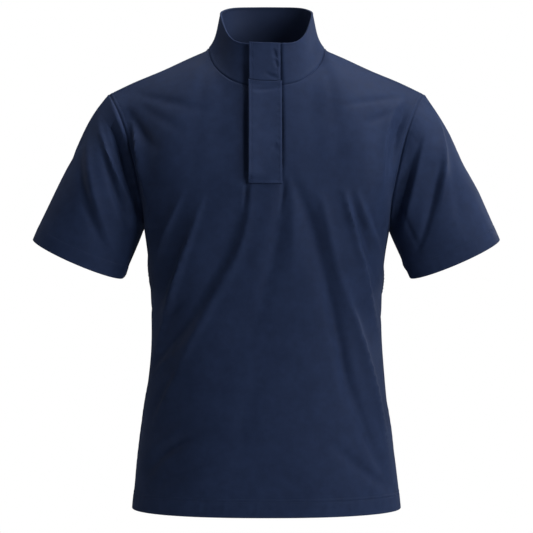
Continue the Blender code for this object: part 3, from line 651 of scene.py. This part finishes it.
def mitre(normals):
    """The vector that is 1 long along each of these directions, or nearly so where they almost oppose each other."""
    if len(normals) == 1:
        return normals[0]
    rows = np.array(normals)
    vector = np.linalg.solve(rows.T @ rows + MITRE_SOFTNESS * np.eye(3), rows.sum(axis=0))
    vector = vector * (1 + MITRE_SOFTNESS / len(rows))
    return vector * min(1, LONGEST_MITRE / np.linalg.norm(vector))


def border_indices(grid):
    rows, columns = grid.shape[:2]
    around = {(row, column) for row in (0, rows - 1) for column in range(columns)}
    return sorted(around | {(row, column) for row in range(rows) for column in (0, columns - 1)})


def offsets(grids):
    """For each point of each piece, the vector that moves it out by 1. Pieces agree where they meet."""
    out = {name: own_normals(grid) for name, grid in grids.items()}
    borders = [(name, *place) for name, grid in grids.items() for place in border_indices(grid)]
    tree = kdtree.KDTree(len(borders))
    for number, (name, row, column) in enumerate(borders):
        tree.insert(grids[name][row, column], number)
    tree.balance()
    joined = []
    for name, row, column in borders:
        near = [borders[number] for _, number, _ in tree.find_range(grids[name][row, column], SAME_PLACE)]
        joined.append(mitre([out[other][r, c] for other, r, c in near]))
    for (name, row, column), vector in zip(borders, joined):
        out[name][row, column] = vector
    return out


# ---- folds ----

VIEWS = {"front": (0, 1, -1), "back": (0, 1, 1), "left": (1, 0, 1), "right": (1, 0, -1)}


def fold_height(fold, points, normals, crest=ROUND_CREST):
    """How far out a fold moves each of these points. A lower crest makes it sharper along its middle."""
    across, through_axis, sign = VIEWS[fold.side]
    line = np.array([fold.start, fold.bend, fold.end])
    reach = FOLD_REACH * max(fold.right_width, fold.left_width)
    low, high = line.min(axis=0) - reach, line.max(axis=0) + reach
    flat = points[..., [across, 2]]
    near = ((flat > low) & (flat < high)).all(axis=-1) & (normals[..., through_axis] * sign > 0)
    height = np.zeros(points.shape[:-1])
    if not near.any():
        return height
    t = np.linspace(0, 1, FOLD_POINTS)[:, None]
    path = (1 - t) ** 2 * fold.start + 2 * t * (1 - t) * fold.bend + t**2 * fold.end
    offset = flat[near][:, None] - path
    distance = np.linalg.norm(offset, axis=-1)
    nearest = distance.argmin(axis=-1)[:, None]
    distance = np.take_along_axis(distance, nearest, axis=-1)[:, 0]
    to_left = np.take_along_axis(offset[..., 0], nearest, axis=-1)[:, 0] > 0
    width = np.where(to_left, fold.left_width, fold.right_width)
    fade = np.sin(math.pi * t[nearest[:, 0], 0]) ** FOLD_ENDS
    facing = normals[near][:, through_axis] * sign
    height[near] = fold.height * np.exp(-((distance / width) ** crest)) * fade * smooth_step(*FOLD_FACING, facing)
    return height


def waves(points, seed, count, shortest, longest):
    """A gentle unevenness, from -1 to 1, that is the same wherever two pieces meet."""
    pick = random.Random(seed)
    total = np.zeros(points.shape[:-1])
    for _ in range(count):
        way = unit(np.array([pick.gauss(0, 1), pick.gauss(0, 1), pick.gauss(0, 0.7)]))
        length = pick.uniform(shortest, longest)
        total += np.sin(points @ way * 2 * math.pi / length + pick.uniform(0, 2 * math.pi))
    return total / count


def folded(grid, normals):
    height = sum(fold_height(fold, grid, normals) for fold in FOLDS + FILLS)
    crests = [RIDGE_CREST if fold.height > 0 else ROUND_CREST for fold in CREASES]
    height = height + sum(fold_height(fold, grid, normals, crest) for fold, crest in zip(CREASES, crests))
    away_from_neck = 1 - smooth_step(*SMOOTH_NECK, grid[..., 2])
    uneven = waves(grid, DEFAULT_SEED, count=9, shortest=0.07, longest=0.16)
    height = height + UNEVENNESS * uneven * away_from_neck
    return grid + normals * height[..., None]


# ---- finer lines along the edges ----


def graded(layers, distances, axis, from_end):
    """The layers with their lines beside one edge replaced by lines at these distances from it."""
    stack = np.concatenate(layers, axis=-1)
    stack = np.swapaxes(stack, 0, 1) if axis else stack
    stack = stack[::-1] if from_end else stack
    steps = np.linalg.norm(np.diff(stack[..., :3], axis=0), axis=-1)
    lengths = np.concatenate([np.zeros((1, stack.shape[1])), np.cumsum(steps, axis=0)])
    whole = int(np.argmax(lengths.min(axis=1) > distances[-1] * LINE_CLEARANCE))
    knots = min(whole + SPLINE_ROWS, len(stack))
    near = [spline(lengths[:knots, j], stack[:knots, j], np.array(distances)) for j in range(stack.shape[1])]
    stack = np.concatenate([np.stack(near, axis=1), stack[whole:]])
    stack = stack[::-1] if from_end else stack
    stack = np.swapaxes(stack, 0, 1) if axis else stack
    return np.split(stack, len(layers), axis=-1)


class Piece:
    """A cut piece: its grid, the offsets at its points, and how far each row and column is from each edge."""

    def __init__(self, grid, offset, edges):
        self.lines = {}
        for (axis, from_end), distances in edges.items():
            grid, offset = graded([grid, offset], distances, axis, from_end)
        self.grid, self.offset = grid, offset
        for (axis, from_end), distances in edges.items():
            apart = np.full(grid.shape[axis], FAR)
            apart[: len(distances)] = distances
            self.lines[axis, from_end] = apart[::-1] if from_end else apart

    def apart(self, axis, from_end):
        """Distances from an edge, for use with the whole grid."""
        apart = self.lines[axis, from_end]
        return apart[None, :] if axis else apart[:, None]

    def along(self, axis):
        """Lengths along the rows (axis 1) or the columns (axis 0)."""
        steps = np.linalg.norm(np.diff(self.grid, axis=axis), axis=-1)
        zero = np.zeros((steps.shape[0], 1)) if axis else np.zeros((1, steps.shape[1]))
        return np.concatenate([zero, np.cumsum(steps, axis=axis)], axis=axis)


def dip(apart, place, width):
    return np.exp(-(((apart - place) / width) ** 2))


def groove(piece, edges):
    """How deep the cloth dips to the seams on these edges."""
    return GROOVE * np.max(
        np.broadcast_arrays(*[1 - smooth_step(0, GROOVE_REACH, piece.apart(*edge)) for edge in edges]), axis=0
    )


def pucker(piece, edge, seed, height, reach):
    """Small ripples beside a sewn edge, none at the edge itself."""
    apart, along = piece.apart(*edge), piece.along(1 - edge[0])
    pick = random.Random(seed)
    ripple = np.zeros_like(along)
    for _ in range(PUCKERS):
        ripple += np.sin(along * 2 * math.pi / pick.uniform(*PUCKER_LENGTHS) + pick.uniform(0, 6.28))
    return height * ripple / 3 * (apart / reach) * np.exp(1 - apart / reach) * (apart < FAR)


# ---- the pieces with their sewing ----


def rounding(apart):
    """How far the two faces of an edge draw together, so that the edge is round."""
    return ROUNDING * CLOTH * (1 - np.sqrt(1 - (1 - np.clip(apart / EDGE_REACH, 0, 1)) ** 2))


def turned(apart, fold_back, stitches):
    """A turned hem: the cloth is double up to fold_back, and drawn in along each row of stitches."""
    height = HEM_RISE * (1 - smooth_step(fold_back + HEM_STEP[0], fold_back + HEM_STEP[1], apart))
    for place in stitches:
        height = height - STITCH_PULL * dip(apart, place, STITCH_PULL_WIDTH)
    return height * (apart < FAR)


def turned_inside(apart, end):
    """How much thicker a turned hem is on its inside. Its second layer ends between these distances."""
    return -rounding(apart) + ALLOWANCE * (1 - smooth_step(*end, apart)) * (apart < FAR)


def with_seam(apart):
    """The allowance under a seam lifts the cloth beside it, and a row of stitches holds it down."""
    lift = SEAM_RISE * sum(share * dip(apart, place, SEAM_RIDGE) for place, share in SEAM_RIDGES)
    return lift - SEAM_RISE * dip(apart, SEAM_STITCH, SEAM_RIDGE / 2)


def shell_faces(cells):
    """The faces of a closed wall: outer points come first, then as many inner ones. cells says which are there."""
    rows, columns = cells.shape[0] + 1, cells.shape[1] + 1
    count = rows * columns
    out = np.arange(count).reshape(rows, columns)
    a, b, c, d = out[:-1, :-1], out[:-1, 1:], out[1:, 1:], out[1:, :-1]
    faces = [np.stack([a, b, c, d], axis=-1)[cells], (np.stack([a, d, c, b], axis=-1) + count)[cells]]
    padded = np.pad(cells, 1)
    for start, end, after, before in (
        (out[:, 1:], out[:, :-1], padded[1:, 1:-1], padded[:-1, 1:-1]),
        (out[:-1], out[1:], padded[1:-1, 1:], padded[1:-1, :-1]),
    ):
        faces.append(np.stack([start, end, end + count, start + count], axis=-1)[after & ~before])
        faces.append(np.stack([end, start, start + count, end + count], axis=-1)[before & ~after])
    return np.concatenate(faces), int(cells.sum())


def add_mesh(name, points, faces, materials):
    data = bpy.data.meshes.new(name)
    data.from_pydata(points.tolist(), [], faces)
    for material in materials:
        data.materials.append(material)
    data.shade_smooth()
    obj = bpy.data.objects.new(name, data)
    bpy.context.scene.collection.objects.link(obj)
    return obj


def add_shell(name, piece, outward, inward, cells=None):
    """A shell from a piece's grid, its outer face moved out by outward and its inner face moved in by inward."""
    outward, inward = (np.broadcast_to(shift, piece.grid.shape[:2])[..., None] for shift in (outward, inward))
    outer = piece.outer = piece.grid + piece.offset * outward
    inner = piece.grid - piece.offset * (CLOTH + inward)
    if cells is None:
        cells = np.ones((outer.shape[0] - 1, outer.shape[1] - 1), bool)
    faces, count = shell_faces(cells)
    points = np.concatenate([outer.reshape(-1, 3), inner.reshape(-1, 3)])
    obj = add_mesh(name, points, faces.tolist(), (OUTSIDE, INSIDE_PAINTED_SHADE))
    uv = np.stack([piece.along(1), piece.along(0)], axis=-1).reshape(-1, 2)
    order = np.empty(len(obj.data.loops), dtype=np.int32)
    obj.data.loops.foreach_get("vertex_index", order)
    layer = obj.data.uv_layers.new(name="weave")
    layer.uv.foreach_set("vector", np.concatenate([uv, uv])[order].astype(np.float32).ravel())
    # The inner faces take the second material, whose darker colour is painted shade.
    on_inside = np.zeros(len(faces), np.int32)
    on_inside[count : 2 * count] = 1
    obj.data.polygons.foreach_set("material_index", on_inside)
    obj.data.set_sharp_from_angle(angle=SHARP)
    return obj


def line_at(piece, edge, distance):
    """The outer points and the outward directions along the line at this distance from an edge."""
    axis, _ = edge
    index = int(np.argmin(np.abs(piece.lines[edge] - distance)))
    if axis:
        return piece.outer[:, index], unit(piece.offset[:, index])
    return piece.outer[index], unit(piece.offset[index])


def at(distance, along, values):
    """The values along a line, at a distance from its start."""
    return np.array([np.interp(distance, along, values[:, k]) for k in range(3)])


def stitch_mesh(lines, seed):
    """Short threads in rows along lines of points, each sunk a little at its ends."""
    pick = random.Random(seed)
    points, faces = [], []
    turn = np.linspace(0, 2 * math.pi, STITCH_SIDES, endpoint=False)[:, None]
    around = [(k, (k + 1) % STITCH_SIDES) for k in range(STITCH_SIDES)]
    for path, normals in lines:
        along = lengths_along(path)
        count = int(along[-1] / STITCH_PITCH)
        for number in range(count):
            middle = (number + 0.5) * along[-1] / count
            length = STITCH_LENGTH * pick.uniform(*STITCH_LENGTHS)
            ends = [at(middle + way * length / 2, along, path) for way in (-1, 1)]
            up = unit(at(middle, along, normals))
            way = unit(ends[1] - ends[0])
            centre = (ends[0] + ends[1]) / 2 + up * STITCH_RISE
            circle = np.cos(turn) * np.cross(up, way) + np.sin(turn) * up * STITCH_FLATNESS
            base = len(points)
            points.extend(centre + way * s * length / 2 - up * STITCH_RADIUS * STITCH_SINK for s in (-1, 1))
            for s in (-STITCH_BELLY, STITCH_BELLY):
                points.extend(centre + way * s * length + circle * STITCH_RADIUS)
            first, second = base + 2, base + 2 + STITCH_SIDES
            faces += [(base, first + b, first + a) for a, b in around]
            faces += [(base + 1, second + a, second + b) for a, b in around]
            faces += [(first + a, first + b, second + b, second + a) for a, b in around]
    return np.array(points), faces


def add_stitches(name, lines, seed):
    obj = add_mesh(name, *stitch_mesh(lines, seed), (STITCHING,))
    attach(obj, "root")


# ---- materials ----

NAVY = (0.0222, 0.0380, 0.0945, 1.0)
NAVY_DEEP = (0.0172, 0.0296, 0.0755, 1.0)
# A darker copy of the navy for the cloth's inner faces: painted shade.
NAVY_INSIDE_PAINTED_SHADE = (0.0205, 0.0325, 0.0760, 1.0)
THREAD = (0.0240, 0.0400, 0.0960, 1.0)
SHEEN_TINT = (0.62, 0.72, 1.0, 1.0)
WEAVE_PITCH = 0.00075


def feed(tree, made, inputs):
    """Links sockets to a node's inputs, and sets the other inputs to values."""
    for key, value in inputs.items():
        if isinstance(value, bpy.types.NodeSocket):
            tree.links.new(value, made.inputs[key])
        else:
            made.inputs[key].default_value = value


def node(tree, kind, inputs, **settings):
    """A new node's first output, or that of a mixer of colours."""
    made = tree.nodes.new(kind)
    for name, value in settings.items():
        setattr(made, name, value)
    feed(tree, made, inputs)
    return made.outputs[2 if settings.get("data_type") == "RGBA" else 0]


def math_node(tree, operation, a, b=0.0):
    return node(tree, "ShaderNodeMath", {0: a, 1: b}, operation=operation)


def mapped(tree, value, low, high, to_low=0.0, to_high=1.0):
    """A socket's value, from one range to another."""
    return node(tree, "ShaderNodeMapRange", {0: value, 1: low, 2: high, 3: to_low, 4: to_high})


def new_material(name):
    """A material with its tree and its shader."""
    material = bpy.data.materials.new(name)
    material.use_nodes = True
    tree = material.node_tree
    return material, tree, tree.nodes["Principled BSDF"]


def cloth_material(name, light, deep, sheen):
    """Dense plain-woven microfibre: a fine over-and-under weave, a brushed mottling and a soft sheen.

    Where light and deep are one colour, the shader has it without a mixer.
    """
    material, tree, shader = new_material(name)
    place = tree.nodes.new("ShaderNodeTexCoord").outputs["Object"]
    threads = tree.nodes.new("ShaderNodeSeparateXYZ")
    feed(tree, threads, {0: node(tree, "ShaderNodeUVMap", {}, uv_map="weave")})
    warp, weft = (
        math_node(tree, "SINE", math_node(tree, "MULTIPLY", threads.outputs[k], 2 * math.pi / WEAVE_PITCH))
        for k in (0, 1)
    )
    weave = math_node(tree, "MULTIPLY", warp, weft)
    mottle = node(tree, "ShaderNodeTexNoise", {"Vector": place, "Scale": 85.0, "Detail": 4.0, "Roughness": 0.6})
    colour = light
    if deep != light:
        broad = node(tree, "ShaderNodeTexNoise", {"Vector": place, "Scale": 26.0, "Detail": 4.0, "Roughness": 0.62})
        broad, fine = math_node(tree, "MULTIPLY", broad, 0.55), math_node(tree, "MULTIPLY", mottle, 0.45)
        share = mapped(tree, math_node(tree, "ADD", broad, fine), 0.38, 0.62)
        colour = node(tree, "ShaderNodeMix", {0: share, 6: deep, 7: light}, data_type="RGBA")
    rough = mapped(tree, mottle, 0.25, 0.75, 0.58, 0.70)
    soft = node(tree, "ShaderNodeBump", {"Height": mottle, "Strength": 0.35, "Distance": 0.0006})
    bump = node(tree, "ShaderNodeBump", {"Height": weave, "Strength": 0.30, "Distance": 0.00006, "Normal": soft})
    feed(tree, shader, {"Base Color": colour, "Roughness": rough, "Normal": bump, "Specular IOR Level": 0.08})
    feed(tree, shader, {"Sheen Weight": sheen, "Sheen Roughness": 0.42, "Sheen Tint": SHEEN_TINT})
    return material


def thread_material():
    material, tree, shader = new_material("thread")
    place = tree.nodes.new("ShaderNodeTexCoord").outputs["Object"]
    fuzz = node(tree, "ShaderNodeTexNoise", {"Vector": place, "Scale": 2600.0, "Detail": 2.0})
    colour = node(tree, "ShaderNodeMix", {0: fuzz, 6: NAVY, 7: THREAD}, data_type="RGBA")
    bump = node(tree, "ShaderNodeBump", {"Height": fuzz, "Strength": 0.4, "Distance": 0.0001})
    feed(tree, shader, {"Base Color": colour, "Roughness": 0.60, "Normal": bump, "Specular IOR Level": 0.15})
    return material


OUTSIDE = cloth_material("navy_microfibre", NAVY, NAVY_DEEP, 0.05)
# The inner faces get a darker copy of the cloth with less sheen; the darker colour is painted shade.
INSIDE_PAINTED_SHADE = cloth_material("navy_microfibre_inside_painted_shade", NAVY_INSIDE_PAINTED_SHADE, NAVY_INSIDE_PAINTED_SHADE, 0.03)
STITCHING = thread_material()

# ---- the shirt ----

left_sleeve = sleeve()
grids = {
    "front": panel(-1, FRONT_NECK_COLUMNS),
    "back": panel(1, BACK_NECK_COLUMNS)[:, ::-1],
    "sleeve_left": left_sleeve,
    "sleeve_right": mirrored(left_sleeve)[:, ::-1],
    "collar": collar(),
}
plain = offsets(grids)
grids = {name: folded(grid, unit(plain[name])) for name, grid in grids.items()}
out = offsets(grids)


def opened_at_centre(grid, offset):
    """The front's grid with two columns, half the slit's width to each side, in place of its middle one."""
    middle = grid.shape[1] // 2
    layers = []
    for layer in (grid, offset):
        sides = []
        for near in (middle - 1, middle + 1):
            share = SLIT_HALF_WIDTH / np.abs(grid[:, near, :1] - grid[:, middle, :1])
            sides.append(layer[:, middle] + (layer[:, near] - layer[:, middle]) * share)
        layers.append(np.concatenate([layer[:, :middle], np.stack(sides, axis=1), layer[:, middle + 1 :]], axis=1))
    return layers


def dress(obj, node_name):
    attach(obj, "root")
    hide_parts(node_name)


def add_panel(name, number):
    grid, offset = grids[name], out[name]
    if name == "front":
        grid, offset = opened_at_centre(grid, offset)
    piece = Piece(grid, offset, BODY_EDGES)
    hem, top = piece.apart(*BOTTOM), piece.apart(*TOP)
    chest = piece.grid[..., 2] > ARMPIT_Z
    outward = turned(hem, HEM_FOLD, HEM_STITCHES) - groove(piece, (FIRST, LAST, TOP)) - rounding(hem)
    for edge in (FIRST, LAST):
        outward = outward + with_seam(piece.apart(*edge)) * chest
    on_shoulder = np.abs(piece.grid[..., 0]) > NECK_SEAM[NECK_POINT].x
    outward = outward + with_seam(top) * on_shoulder + pucker(piece, BOTTOM, number, height=0.00022, reach=0.0130)
    cells = np.ones((piece.grid.shape[0] - 1, piece.grid.shape[1] - 1), bool)
    if name == "front":
        middle = cells.shape[1] // 2
        cells[piece.grid[:-1, middle, 2] > SLIT_BOTTOM_Z, middle] = False
    return add_shell(name + "_panel", piece, outward, turned_inside(hem, HEM_INSIDE_END), cells), piece


def add_sleeve(name, number):
    piece = Piece(grids[name], out[name], SLEEVE_EDGES)
    cuff = piece.apart(*TOP)
    outward = CUFF_SHARE * turned(cuff, CUFF_FOLD, CUFF_STITCHES)
    outward = outward - groove(piece, (FIRST, LAST, BOTTOM)) - rounding(cuff)
    outward = outward + with_seam(piece.apart(*BOTTOM)) * CUFF_SHARE
    outward = outward + pucker(piece, TOP, number, height=0.00018, reach=0.0110)
    outward = outward + pucker(piece, BOTTOM, number + 50, height=0.00035, reach=0.0040)
    return add_shell(name + "_panel", piece, outward, turned_inside(cuff, CUFF_INSIDE_END)), piece


def add_collar():
    piece = Piece(grids["collar"], out["collar"], COLLAR_EDGES)
    top = piece.apart(*TOP)
    roll = dip(top, *COLLAR_EDGE_BEAD)
    outward = COLLAR_EDGE * roll - groove(piece, (BOTTOM,)) - rounding(top)
    inward = COLLAR_CLOTH + ALLOWANCE * roll - rounding(top)
    return add_shell("collar_band", piece, outward, inward)


def flap_grid(grid, normals, flap, first, last):
    """A flap on the lines of the cloth under it, from one row up to another, which may lie between its own rows."""
    rows = np.concatenate([[first], np.arange(math.floor(first) + 1, math.ceil(last), 0.5), [last]])
    across = np.linspace(flap.free_x, flap.sewn_x, round((flap.sewn_x - flap.free_x) / FLAP_SPACING) + 1)
    free = np.linspace(1, 0, len(across))[:, None]
    sewn = 1 - smooth_step(0.0, SEWN_REACH, flap.sewn_x - across)[:, None]
    lines = []
    for row in rows:
        low = min(int(row), len(grid) - 2)
        points = grid[low] + (grid[low + 1] - grid[low]) * (row - low)
        outward = normals[low] + (normals[low + 1] - normals[low]) * (row - low)
        under = np.stack([np.interp(across, points[:, 0], points[:, k]) for k in range(3)], axis=1)
        way = np.stack([np.interp(across, points[:, 0], outward[:, k]) for k in range(3)], axis=1)
        height = under[:, 2:]
        lift = flap.lift * free**2 * smooth_step(*FREE_RISES, height)
        lift = lift + FLARE * (1 - smooth_step(*FLARE_ENDS, height))
        lift = lift - SEWN_DIP * sewn * smooth_step(*SEWN_GOES_DOWN, height)
        lines.append(under + unit(way) * (FLAP_CLOTH + FLAP_GAP + lift))
    return np.array(lines)


def add_flap(name, grid, number):
    offset = own_normals(grid)
    height = sum(fold_height(fold, grid, offset) for fold in FLAP_CREASES)
    uneven = waves(grid, number, count=7, shortest=0.018, longest=0.05)
    grid = grid + offset * (height + FLAP_UNEVENNESS * uneven)[..., None]
    piece = Piece(grid, own_normals(grid), FLAP_EDGES)
    side = np.minimum(piece.apart(*FIRST), piece.apart(*LAST))
    apart = np.minimum(side, np.minimum(piece.apart(*BOTTOM), piece.apart(*TOP)))
    outward = FLAP_BEAD * dip(side, *FLAP_BEAD_PLACE) - rounding(apart) * FLAP_ROUNDING
    outward = outward - FLAP_PULL * dip(side, EDGE_STITCH, FLAP_PULL_WIDTH)
    outward = outward + pucker(piece, FIRST, number, height=0.00012, reach=0.004)
    outward = outward + pucker(piece, LAST, number + 1, height=0.00020, reach=0.004)
    return add_shell(name, piece, outward, FLAP_CLOTH - CLOTH - rounding(apart)), piece


def row_at_height(strip, z):
    """The row, maybe between two, at which the middle of a strip reaches this height."""
    middle = strip[:, strip.shape[1] // 2, 2]
    return float(np.interp(z, middle, np.arange(len(middle))))


def centre_strip(front_grid, collar_grid):
    """The columns nearest the centre, from the front's hem up to the neck seam and on to the top of the collar."""
    near, middle = FRONT_NECK_COLUMNS * SHELL.neck // 3, front_grid.shape[1] // 2
    over_neck = np.concatenate([collar_grid[:, -near:-1], collar_grid[:, :near]], axis=1)
    return np.concatenate([front_grid[:, middle - near + 1 : middle + near], over_neck[1:]])


strip, strip_out = (centre_strip(layer["front"], layer["collar"]) for layer in (grids, out))
for name in ("front", "collar"):
    depth = sum(fold_height(furrow, grids[name], unit(out[name])) for furrow in FURROWS)
    grids[name] = grids[name] + unit(out[name]) * depth[..., None]
out = offsets(grids)

front_obj, front = add_panel("front", 21)
back_obj, back = add_panel("back", 22)
left_obj, left = add_sleeve("sleeve_left", 23)
right_obj, right = add_sleeve("sleeve_right", 24)
collar_obj = add_collar()
flap_bottom, flap_seam = (row_at_height(strip, z) for z in (FLAP_BOTTOM_Z, FLAP_SEAM_Z))
body_flap_grid = flap_grid(strip, strip_out, BODY_FLAP, flap_bottom, flap_seam - SEAM_OPENING)
neck_flap_grid = flap_grid(strip, strip_out, COLLAR_FLAP, flap_seam + SEAM_OPENING, len(strip) - 1)
flap_obj, flap = add_flap("placket_cover", body_flap_grid, 31)
neck_obj, neck_flap = add_flap("collar_cover", neck_flap_grid, 33)

dress(front_obj, "front")
dress(back_obj, "back")
dress(left_obj, "sleeve_left")
dress(right_obj, "sleeve_right")
dress(collar_obj, "collar")
dress(flap_obj, "placket_flap")
dress(neck_obj, "collar_flap")


def above_armpit(piece, edge, distance):
    path, normals = line_at(piece, edge, distance)
    high = path[:, 2] > ARMPIT_Z + STITCHES_ABOVE_ARMPIT
    return path[high], normals[high]


def shoulder_lines(piece):
    """The stitches beside the two shoulder seams, without the neck seam between them."""
    path, normals = line_at(piece, TOP, SEAM_STITCH)
    for side in (-1, 1):
        on = path[:, 0] * side > NECK_SEAM[NECK_POINT].x + STITCHES_PAST_NECK
        yield path[on], normals[on]


for name, piece, seed in (("front", front, 41), ("back", back, 42)):
    hem_rows = [line_at(piece, BOTTOM, place) for place in HEM_STITCHES]
    add_stitches(name + "_hem_stitches", hem_rows, seed)
    seams = [above_armpit(piece, edge, SEAM_STITCH) for edge in (FIRST, LAST)]
    add_stitches(name + "_armhole_stitches", seams + list(shoulder_lines(piece)), seed + 10)
for name, piece, seed in (("left", left, 43), ("right", right, 44)):
    add_stitches(name + "_cuff_stitches", [line_at(piece, TOP, place) for place in CUFF_STITCHES], seed)
for name, piece, seed in (("placket", flap, 45), ("collar", neck_flap, 46)):
    rows = [line_at(piece, edge, EDGE_STITCH) for edge in (FIRST, LAST)]
    add_stitches(name + "_cover_stitches", rows, seed)

# ---- floor, light and camera ----

FLOOR_Z = -1.48
FLOOR_SIZE = 3.6
FLOOR_GREY = (0.86, 0.86, 0.86, 1.0)
FLOOR_GLOW = 0.92  # the share of the floor's own brightness in what the camera sees of it
WHITE = (1.0, 1.0, 1.0, 1.0)
AMBIENT = 0.05
MIDDLE = np.array([0.0, 0.0, -0.32])
Light = namedtuple("Light", "name place size watts")
LIGHTS = (
    Light("key", (2.05, -1.20, 0.42), 0.7, 18.5),
    Light("key_high", (1.25, 0.20, 1.85), 0.8, 26.0),
    Light("front", (1.45, -1.95, 0.33), 0.8, 15.5),
    Light("top", (0.65, -0.35, 2.1), 0.8, 16.0),
    Light("top_behind", (-0.6, 0.6, 2.1), 0.8, 15.0),
    Light("fill", (-2.0, -1.4, 0.4), 1.4, 1.4),
    Light("fill_high", (-1.5, -0.8, 1.5), 1.0, 3.2),
    Light("rim_right", (-2.0, 0.5, 0.3), 0.6, 3.4),
    Light("behind", (2.1, 1.3, 0.4), 0.7, 12.0),
)
CAMERA_DISTANCE = 2.6
CAMERA_Z = -0.322
SENSOR_WIDTH = 36.0
FRAME_WIDTH = 0.7995  # what the photograph spans at the shirt's middle


def add_floor():
    """A pale floor, which the camera sees nearly white."""
    material, tree, shader = new_material("pale_floor")
    feed(tree, shader, {"Base Color": FLOOR_GREY, "Roughness": 0.8})
    glow = node(tree, "ShaderNodeEmission", {"Color": WHITE, "Strength": 1.0})
    seen = math_node(tree, "MULTIPLY", node(tree, "ShaderNodeLightPath", {}), FLOOR_GLOW)
    lit = node(tree, "ShaderNodeMixShader", {0: seen, 1: shader.outputs[0], 2: glow})
    tree.links.new(lit, tree.nodes["Material Output"].inputs[0])
    bpy.ops.mesh.primitive_plane_add(size=FLOOR_SIZE, location=(0.0, 0.0, FLOOR_Z))
    floor = bpy.context.object
    floor.name = "floor"
    floor.data.materials.append(material)


def add_world():
    """A white background for the camera, and a weak light from all sides for the rest."""
    world = bpy.context.scene.world = bpy.data.worlds.new("studio")
    world.use_nodes = True
    tree = world.node_tree
    seen, around = (
        node(tree, "ShaderNodeBackground", {"Color": WHITE, "Strength": strength}) for strength in (1.0, AMBIENT)
    )
    mix = node(tree, "ShaderNodeMixShader", {0: node(tree, "ShaderNodeLightPath", {}), 1: around, 2: seen})
    tree.links.new(mix, tree.nodes["World Output"].inputs[0])


def add_light(light):
    data = bpy.data.lights.new(light.name, "AREA")
    data.shape, data.size, data.energy = "DISK", light.size, light.watts
    obj = bpy.data.objects.new(light.name, data)
    obj.location = light.place
    way = unit(MIDDLE - light.place)
    obj.rotation_euler = (math.acos(-way[2]), 0.0, math.atan2(way[1], way[0]) - math.pi / 2)
    bpy.context.scene.collection.objects.link(obj)


add_floor()
add_world()
for light in LIGHTS:
    add_light(light)

camera_data = bpy.data.cameras.new("camera")
camera_data.sensor_width = SENSOR_WIDTH
camera_data.lens = SENSOR_WIDTH * CAMERA_DISTANCE / FRAME_WIDTH
camera = bpy.data.objects.new("camera", camera_data)
camera.location = (0.0, -CAMERA_DISTANCE, CAMERA_Z)
camera.rotation_euler = (math.pi / 2, 0.0, 0.0)
bpy.context.scene.collection.objects.link(camera)
bpy.context.scene.camera = camera
bpy.context.scene.view_settings.view_transform = "Standard"
